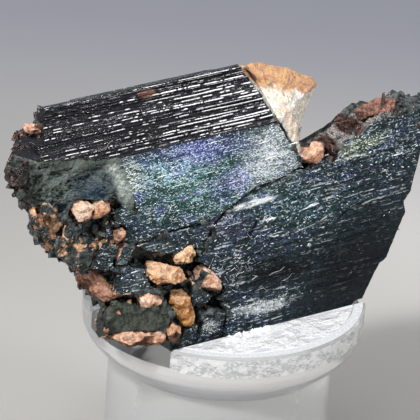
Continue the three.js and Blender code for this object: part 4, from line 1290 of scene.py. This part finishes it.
CLAY_COLOURS = {
    "end_clay_wedge": ((1.0, 0.96, 0.88), (1.0, 0.88, 0.74)),
    "facet_clay_left": ((0.86, 0.64, 0.50), (0.74, 0.44, 0.29)),
    "facet_clay_right": ((0.70, 0.34, 0.19), (0.28, 0.10, 0.045)),
    "crevice_clay": ((0.80, 0.45, 0.28), (0.22, 0.08, 0.04)),
    "left_seam_clay": ((0.52, 0.31, 0.16), (0.18, 0.08, 0.04)),
    "middle_clay": ((0.82, 0.49, 0.27), (0.58, 0.24, 0.09)),
    "cap_clay": ((0.88, 0.60, 0.35), (0.64, 0.28, 0.11)),
    "crack_clay": ((0.82, 0.54, 0.38), (0.55, 0.24, 0.13)),
    "upright_clay": ((0.78, 0.38, 0.11), (0.44, 0.16, 0.035)),
    "seam_clay": ((0.92, 0.60, 0.44), (0.62, 0.28, 0.16)),
    "bottom_clay_slab": ((0.78, 0.44, 0.28), (0.46, 0.19, 0.10)),
    "bottom_clay_lump": ((0.76, 0.42, 0.24), (0.42, 0.17, 0.08)),
    "side_clay_plate": ((0.54, 0.27, 0.18), (0.38, 0.16, 0.09)),
    "notch_clay": ((0.88, 0.50, 0.33), (0.62, 0.26, 0.15)),
    "ridge_clay": ((0.36, 0.15, 0.10), (0.11, 0.045, 0.034)),
    "end_spot_clay": ((0.86, 0.52, 0.38), (0.55, 0.25, 0.16)),
}


# How some lumps sit in their solids: size along X, Y and Z as shares, then a shift in mm.
FITTED = {
    "end_spot_clay": ((1.0, 0.6, 0.5), (0, 0, 0)),
    "ridge_clay": ((1.0, 0.8, 0.42), (0.9, 0, -0.05)),
    "middle_clay": ((1.05, 1.0, 0.72), (0, 0, 0)),
    "upright_clay": ((0.78, 1.0, 1.0), (0, 0, 0)),
    "bottom_clay_slab": ((0.86, 1.0, 0.78), (0, 0, 0)),
    "facet_clay_left": ((0.66, 0.9, 0.95), (0, 0, -0.1)),
    "facet_clay_right": ((0.95, 0.9, 0.66), (-1.0, 0, 0.2)),
    "notch_clay": ((1.8, 1.0, 0.85), (0.7, 0, 0.35)),
}


def fitted(points, node):
    """A lump's points, in mm, once its size and shift are applied."""
    size, shift = FITTED.get(node, ((1, 1, 1), (0, 0, 0)))
    centre = (points.min(axis=0) + points.max(axis=0)) / 2
    return centre + (points - centre) * size + shift


def flat_sides(points, random, count, deepest):
    """Cuts a lump along planes in all directions, which gives it the flat sides of a broken piece."""
    centre = (points.min(axis=0) + points.max(axis=0)) / 2
    for _ in range(count):
        direction = random.normal(size=3)
        direction /= np.linalg.norm(direction)
        reach = (points - centre) @ direction
        over = np.clip(reach - reach.max() * random.uniform(deepest, 0.96), 0, None)
        points = points - over[:, None] * direction
    return points


def clay_lump(node, seed):
    """A dry, broken lump in place of its plain solid."""
    points, faces = cad_mesh(node)
    big = node == "end_clay_wedge"
    fineness = np.array([0.24 if big else 0.12])
    points, faces, _ = split_edges(points, faces, np.zeros(len(faces), dtype=np.int64), fineness)
    normal = point_normals(points, faces)
    rough = layered(points * 0.6, seed + 60, 3)
    points = fitted(points, node)
    if not big:
        points = points + normal * (0.14 + 0.34 * rough)[:, None]
        points = flat_sides(points, np.random.default_rng(seed), 18, 0.7)
        normal = point_normals(points, faces)
    else:
        waist = np.clip((42.4 - points[:, 2]) / 2.2, 0, 1) * np.clip((points[:, 0] - 2.6) / 3.4, 0, 1)
        points[:, 0] -= 1.5 * waist
    chips, seam = chipped(points * (1.3, 1.1, 1.3), seed + 30)
    ridged = 1 - 2 * np.abs(layered(points * 1.1, seed + 40, 3))
    grain = layered(points * 4.5, seed + 20, 2)
    small_chips, _ = chipped(points * (2.7, 2.4, 2.9), seed + 50)
    relief = chips * 0.09 + small_chips * 0.055 + ridged * 0.05 + grain * 0.05 + rough * 0.05
    # Painted shade on undersides and in low spots, and a painted highlight on faces turned up.
    below = np.clip(-normal[:, 2] - 0.05, 0, 1)
    painted_shade = np.clip(-rough * 0.9 - small_chips * 0.15 + below * 1.3 - 0.12, 0, 1)
    # A painted shadow darkens the notch clay's right part.
    if node == "notch_clay":
        painted_shade = np.clip(painted_shade + np.clip((points[:, 0] - 5.2) * 2, 0, 1), 0, 1)
    painted_highlight = np.clip(normal[:, 2] * 0.7 - normal[:, 1] * 0.2 + small_chips * 0.5 - 0.3, 0, 1)
    # The ridge clay gets only a faint painted highlight.
    if node == "ridge_clay":
        painted_highlight = painted_highlight * 0.15
    points = inside_box(points + normal * relief[:, None])
    finish = new_material(node + "_finish", clay_finish(*CLAY_COLOURS[node], big))
    return new_object(node.replace("clay", "dry_clay"), points, faces, [finish], sharp=26,
                      values={"painted_shade": painted_shade, "painted_highlight": painted_highlight})


# ---------------------------------------------------------------- fibres

# Paths of (x, y, z) places.
FIBRES = [
    [(-20.1, -6.95, 43.1), (-19.5, -6.5, 43.4), (-18.7, -6.2, 43.55)],
    [(-9.8, -6.8, 43.2), (-9.5, -7.1, 43.0), (-9.1, -6.9, 43.15)],
    [(-3.3, -7.65, 30.9), (-2.7, -7.75, 30.2)],
    [(-0.3, -7.65, 25.7), (0.25, -7.75, 26.0), (0.9, -7.75, 25.95), (1.5, -7.65, 26.25)],
    [(1.3, -7.65, 24.7), (2.0, -7.8, 24.95), (2.4, -7.7, 25.3)],
    [(-1.9, -7.65, 24.3), (-1.0, -7.8, 24.6), (-0.5, -7.65, 24.1)],
]
FIBRE_STEPS = 12
FIBRE_SIDES = 5
FIBRE_RADIUS = 0.012


def pale_fibres():
    """A few hair-thin fibres that cling to the faces."""
    points = []
    faces = []
    for path in FIBRES:
        path = np.array(path)
        steps = np.linspace(0, len(path) - 1, FIBRE_STEPS)
        line = np.stack([np.interp(steps, np.arange(len(path)), side) for side in path.T], axis=1)
        line[1:-1] = (line[:-2] + line[1:-1] + line[2:]) / 3
        first = len(points)
        for step, place in enumerate(line):
            radius = FIBRE_RADIUS if 0 < step < FIBRE_STEPS - 1 else FIBRE_RADIUS / 2
            for corner in range(FIBRE_SIDES):
                angle = corner * math.tau / FIBRE_SIDES
                across = np.array([math.cos(angle) * 0.5, math.sin(angle), math.cos(angle)])
                points.append(place + radius * across)
        last = len(points) - FIBRE_SIDES
        for ring in range(first, last, FIBRE_SIDES):
            for corner in range(FIBRE_SIDES):
                other = (corner + 1) % FIBRE_SIDES
                after = ring + FIBRE_SIDES
                faces.append((ring + corner, ring + other, after + other, after + corner))
        faces.append(tuple(reversed(range(first, first + FIBRE_SIDES))))
        faces.append(tuple(range(last, last + FIBRE_SIDES)))
    return new_object("pale_fibres", points, faces, [FIBRE], sharp=60)


# ---------------------------------------------------------------- stand

ROD_SIDES = 180
NECK_STEPS = 14
HEAD_BREAK = 0.25
FOOT_BREAK = 0.3


def turned(rings):
    """Points and faces of a solid turned from rings of (radius, height), closed at both ends."""
    points = []
    for radius, height in rings:
        for side in range(ROD_SIDES):
            angle = math.tau * side / ROD_SIDES
            points.append((radius * math.cos(angle), radius * math.sin(angle), height))
    faces = []
    last = (len(rings) - 1) * ROD_SIDES
    for below in range(0, last, ROD_SIDES):
        above = below + ROD_SIDES
        for side in range(ROD_SIDES):
            other = (side + 1) % ROD_SIDES
            faces.append((below + side, below + other, above + other, above + side))
    faces.append(tuple(reversed(range(ROD_SIDES))))
    faces.append(tuple(range(last, last + ROD_SIDES)))
    return points, faces


def acrylic_stand():
    """The turned rod with its wider head, and the slot sawn across it."""
    rings = [(STEM_RADIUS - FOOT_BREAK, 0.0), (STEM_RADIUS, FOOT_BREAK), (STEM_RADIUS, 7.0)]
    for step in np.linspace(0, 1, NECK_STEPS + 1):
        radius = STEM_RADIUS + (HEAD_RADIUS - STEM_RADIUS) * math.sin(step * math.pi / 2)
        rings.append((radius, STEM_TOP + (HEAD_BOTTOM - STEM_TOP) * step))
    rings += [(HEAD_RADIUS, HEAD_TOP - HEAD_BREAK), (HEAD_RADIUS - HEAD_BREAK, HEAD_TOP)]
    points, faces = turned(rings)
    finishes = [POLISHED, SAWN, SLOT, UNDERSIDE, RIM]
    rod = new_object("stand", points, faces, finishes)
    corners = [(x, y, z) for x in (-20, 20) for y in (SLOT_FRONT, SLOT_BACK) for z in (SLOT_FLOOR, 25)]
    box_faces = [(0, 1, 3, 2), (4, 6, 7, 5), (0, 4, 5, 1), (2, 3, 7, 6), (0, 2, 6, 4), (1, 5, 7, 3)]
    cutter = new_object("slot_cutter", corners, box_faces, [])
    cut = rod.modifiers.new("slot", "BOOLEAN")
    cut.operation = "DIFFERENCE"
    cut.solver = "EXACT"
    cut.object = cutter
    bpy.context.view_layer.update()
    mesh = bpy.data.meshes.new_from_object(rod.evaluated_get(bpy.context.evaluated_depsgraph_get()))
    bpy.data.objects.remove(rod)
    bpy.data.objects.remove(cutter)
    mesh.name = "clear_stand"
    for face in mesh.polygons:
        x, y, z = (value / MM for value in face.center)
        inner = abs(face.normal.z) < 0.5 and math.hypot(x, y) < HEAD_RADIUS - 0.4 and z > SLOT_FLOOR
        floor = face.normal.z > 0.9 and abs(z - SLOT_FLOOR) < 0.1
        sawn = face.normal.z > 0.9 and z > SLOT_FLOOR
        under = z < 0.05
        rim = abs(face.normal.z) < 0.1 and HEAD_BOTTOM < z < HEAD_TOP and y < SLOT_FRONT
        if under:
            finish = UNDERSIDE
        elif inner or floor:
            finish = SLOT
        elif sawn:
            finish = SAWN
        elif rim:
            finish = RIM
        else:
            finish = POLISHED
        face.material_index = finishes.index(finish)
        face.use_smooth = True
    mesh.set_sharp_from_angle(angle=math.radians(30))
    return linked("clear_stand", mesh)


# ---------------------------------------------------------------- camera and light

def camera():
    """A long lens, a little rolled, looking down at the front left."""
    place = Vector((-0.26186, -0.36042, 0.24200))
    ahead = Vector((0.52718, 0.73242, -0.43087))
    azimuth = math.radians(-36)
    elevation = math.radians(27)
    roll = math.radians(4)
    level = math.cos(elevation)
    back = Vector((math.sin(azimuth) * level, -math.cos(azimuth) * level, math.sin(elevation)))
    right = Vector((math.cos(azimuth), math.sin(azimuth), 0))
    up = back.cross(right)
    across = right * math.cos(roll) + up * math.sin(roll)
    upward = up * math.cos(roll) - right * math.sin(roll)
    turn = (-back).rotation_difference(ahead).to_matrix()
    pose = turn @ Matrix((across, upward, back)).transposed()
    lens = bpy.data.cameras.new("camera")
    lens.sensor_width = 36
    lens.lens = 428.57
    lens.clip_start = 0.05
    lens.clip_end = 5
    made = linked("camera", lens)
    made.matrix_world = Matrix.Translation(place) @ pose.to_4x4()
    bpy.context.scene.camera = made


def area_light(name, place, aim, size, power):
    """A soft rectangular lamp at place, in metres, aimed at a point."""
    lamp = bpy.data.lights.new(name, "AREA")
    lamp.shape = "RECTANGLE"
    lamp.size, lamp.size_y = size
    lamp.energy = power
    made = linked(name, lamp)
    made.location = place
    made.rotation_mode = "QUATERNION"
    made.rotation_quaternion = (Vector(aim) - Vector(place)).to_track_quat("-Z", "Y")


FLOOR_REACH = 1500


def studio():
    """A pale floor, a grey surround and soft lamps."""
    world = bpy.data.worlds.new("surround")
    world.use_nodes = True
    background = world.node_tree.nodes["Background"]
    background.inputs["Color"].default_value = (0.78, 0.8, 0.84, 1)
    background.inputs["Strength"].default_value = 0.36
    bpy.context.scene.world = world
    bpy.context.scene.view_settings.view_transform = "Standard"
    aim = (-0.004, 0, 0.03)
    area_light("upper_left_key", (-0.44, -0.20, 0.56), aim, (0.07, 0.07), 5.4)
    area_light("top_softbox", (-0.06, -0.20, 0.75), aim, (0.3, 0.3), 1.4)
    area_light("front_right_fill", (0.30, -0.50, 0.42), aim, (0.15, 0.15), 1.3)
    area_light("back_right_key", (0.34, 0.34, 0.60), aim, (0.07, 0.07), 1.2)
    area_light("left_card", (-0.60, 0.10, 0.14), aim, (0.5, 0.24), 1.2)
    area_light("right_card", (0.55, -0.10, 0.14), aim, (0.4, 0.24), 0.7)
    corners = [(x * FLOOR_REACH, y * FLOOR_REACH, 0) for x, y in ((-1, -1), (1, -1), (1, 1), (-1, 1))]
    floor = new_object("floor", corners, [(0, 1, 2, 3)], [FLOOR])


# ---------------------------------------------------------------- assembly

def placed(piece, slot, *nodes):
    """Fixes a piece to the object's only body, for the nodes that it stands for."""
    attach(piece, "root")
    if nodes:
        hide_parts(*nodes)


SPLINTER_SHAPE = hull_shape("splinter_shape", [
    (-0.5, 0.4, -0.4), (0.5, 0.4, -0.5), (0.5, 0.4, 0.4), (-0.5, 0.4, 0.5),
    (-0.36, -0.5, -0.1), (0.3, -0.42, -0.3), (0.36, -0.5, 0.12), (-0.28, -0.4, 0.3),
])
CHIP_SHAPE = hull_shape("chip_shape", [
    (-0.5, -0.3, -0.4), (0.4, -0.5, -0.3), (0.5, 0.4, -0.45), (-0.35, 0.5, -0.2),
    (-0.4, -0.2, 0.4), (0.3, -0.35, 0.5), (0.45, 0.3, 0.25), (-0.1, 0.45, 0.5), (0.1, 0.05, -0.6),
])
SPIKE_CORNERS = [
    (13.5, -5.3, 39.9), (14.2, -5.3, 40.1), (14.0, -4.7, 40.0),
    (13.75, -5.1, 41.4), (14.0, -5.15, 41.5), (13.9, -4.95, 41.3), (14.15, -5.0, 40.9),
]
SAW_CRUMB_CORNERS = [
    (-6.2, -9.4, HEAD_TOP), (-0.8, -8.8, HEAD_TOP), (0.2, -7.95, HEAD_TOP), (-5.2, -7.95, HEAD_TOP),
]
ANY_WAY = (180, 180, 180)

UPRIGHT = (0, 0, 0)

# What is strewn: the ground it lies on, its shape, pieces per square mm, smallest and largest piece along
# X, Y and Z in mm, how far it may turn about them and how far it leans in degrees, its seed, its finish
# and its slot.
STREWN_PIECES = {
    "druse_splinters": ("front", SPLINTER_SHAPE, 24, (0.13, 0.05, 0.06), (0.4, 0.09, 0.12),
                        (20, 42, 20), UPRIGHT, 3, SPLINTER, "crystal"),
    "fine_splinters": ("front", SPLINTER_SHAPE, 28, (0.09, 0.05, 0.05), (0.24, 0.09, 0.10),
                       (20, 60, 20), UPRIGHT, 13, SPLINTER, "crystal"),
    "long_blades": ("blades", SPLINTER_SHAPE, 0.6, (0.8, 0.06, 0.06), (2.8, 0.1, 0.11),
                    (10, 2, 4), (0, -3, 0), 8, SPLINTER, "crystal"),
    "broken_chips": ("ragged", CHIP_SHAPE, 0.7, (0.4, 0.35, 0.3), (1.3, 1.0, 0.8),
                     ANY_WAY, UPRIGHT, 5, BROKEN, "crystal"),
    "clay_grit": ("left", CHIP_SHAPE, 0.1, (0.3, 0.2, 0.2), (0.9, 0.6, 0.5),
                  ANY_WAY, UPRIGHT, 6, CLAY_CRUMBS, "clay_pale"),
    "white_crumbs": ("saw_cut", CHIP_SHAPE, 14, (0.12, 0.12, 0.1), (0.5, 0.45, 0.4),
                     ANY_WAY, UPRIGHT, 4, CRUMB, "acrylic"),
    "fine_fibres": ("fibres", SPLINTER_SHAPE, 2.6, (0.4, 0.03, 0.03), (1.3, 0.045, 0.045),
                    (8, 70, 8), UPRIGHT, 17, FIBRE, "crystal"),
}


def strewn_and_placed(names, grounds):
    """Strews pieces of the table over their grounds and fixes them to the object."""
    for name in names:
        ground, shape, per_mm2, smallest, largest, turn, lean, seed, finish, slot = STREWN_PIECES[name]
        piece = strewn(name, grounds[ground], shape, per_mm2, smallest, largest, turn, lean, seed, finish)
        placed(piece, slot)


def strewn_grounds(points, faces, zone):
    """The faces that pieces are strewn over, by name: points, faces and cover."""
    normals = point_normals(points, faces)
    middle = points[faces].mean(axis=1)
    front = zone == FRONT_ZONE
    ragged = (zone == BROKEN_ZONE) & (middle[:, 2] > 21)
    parts = {
        "front": (front, front_cover),
        "blades": (front, blade_cover),
        "fibres": (front, fibre_cover),
        "ragged": (ragged, broken_cover),
        "left": (ragged & (middle[:, 0] < -9), even_cover),
    }
    grounds = {name: part_of(points, faces, normals, *part) for name, part in parts.items()}
    grounds["saw_cut"] = (np.array(SAW_CRUMB_CORNERS), np.array([(0, 1, 2), (0, 2, 3)]), np.ones(4))
    return grounds


def ridge_spike():
    """The dark spike on the ridge behind the notch."""
    spike = hull_shape("ridge_spike", [tuple(side * MM for side in corner) for corner in SPIKE_CORNERS])
    dark = clay_finish((0.09, 0.05, 0.04), (0.03, 0.02, 0.018))
    spike.data.materials.append(new_material("dark_spike", dark))
    return spike


camera()
studio()

body, points, faces, zone = crystal_body()
placed(body, "crystal", "crystal_cluster")
placed(roof_furrows(), "crystal")

grounds = strewn_grounds(points, faces, zone)
*before_fibres, finest = STREWN_PIECES
strewn_and_placed(before_fibres, grounds)
placed(pale_fibres(), "crystal")
placed(ridge_spike(), "crystal")
strewn_and_placed([finest], grounds)

slots = {part["node"]: part["material_slot"] for part in frame["record"]["subparts"]}
for number, name in enumerate(CLAY_COLOURS):
    placed(clay_lump(name, 100 + 40 * number), slots[name], name)

placed(acrylic_stand(), "acrylic", "acrylic_stand")

bpy.data.objects.remove(SPLINTER_SHAPE)
bpy.data.objects.remove(CHIP_SHAPE)
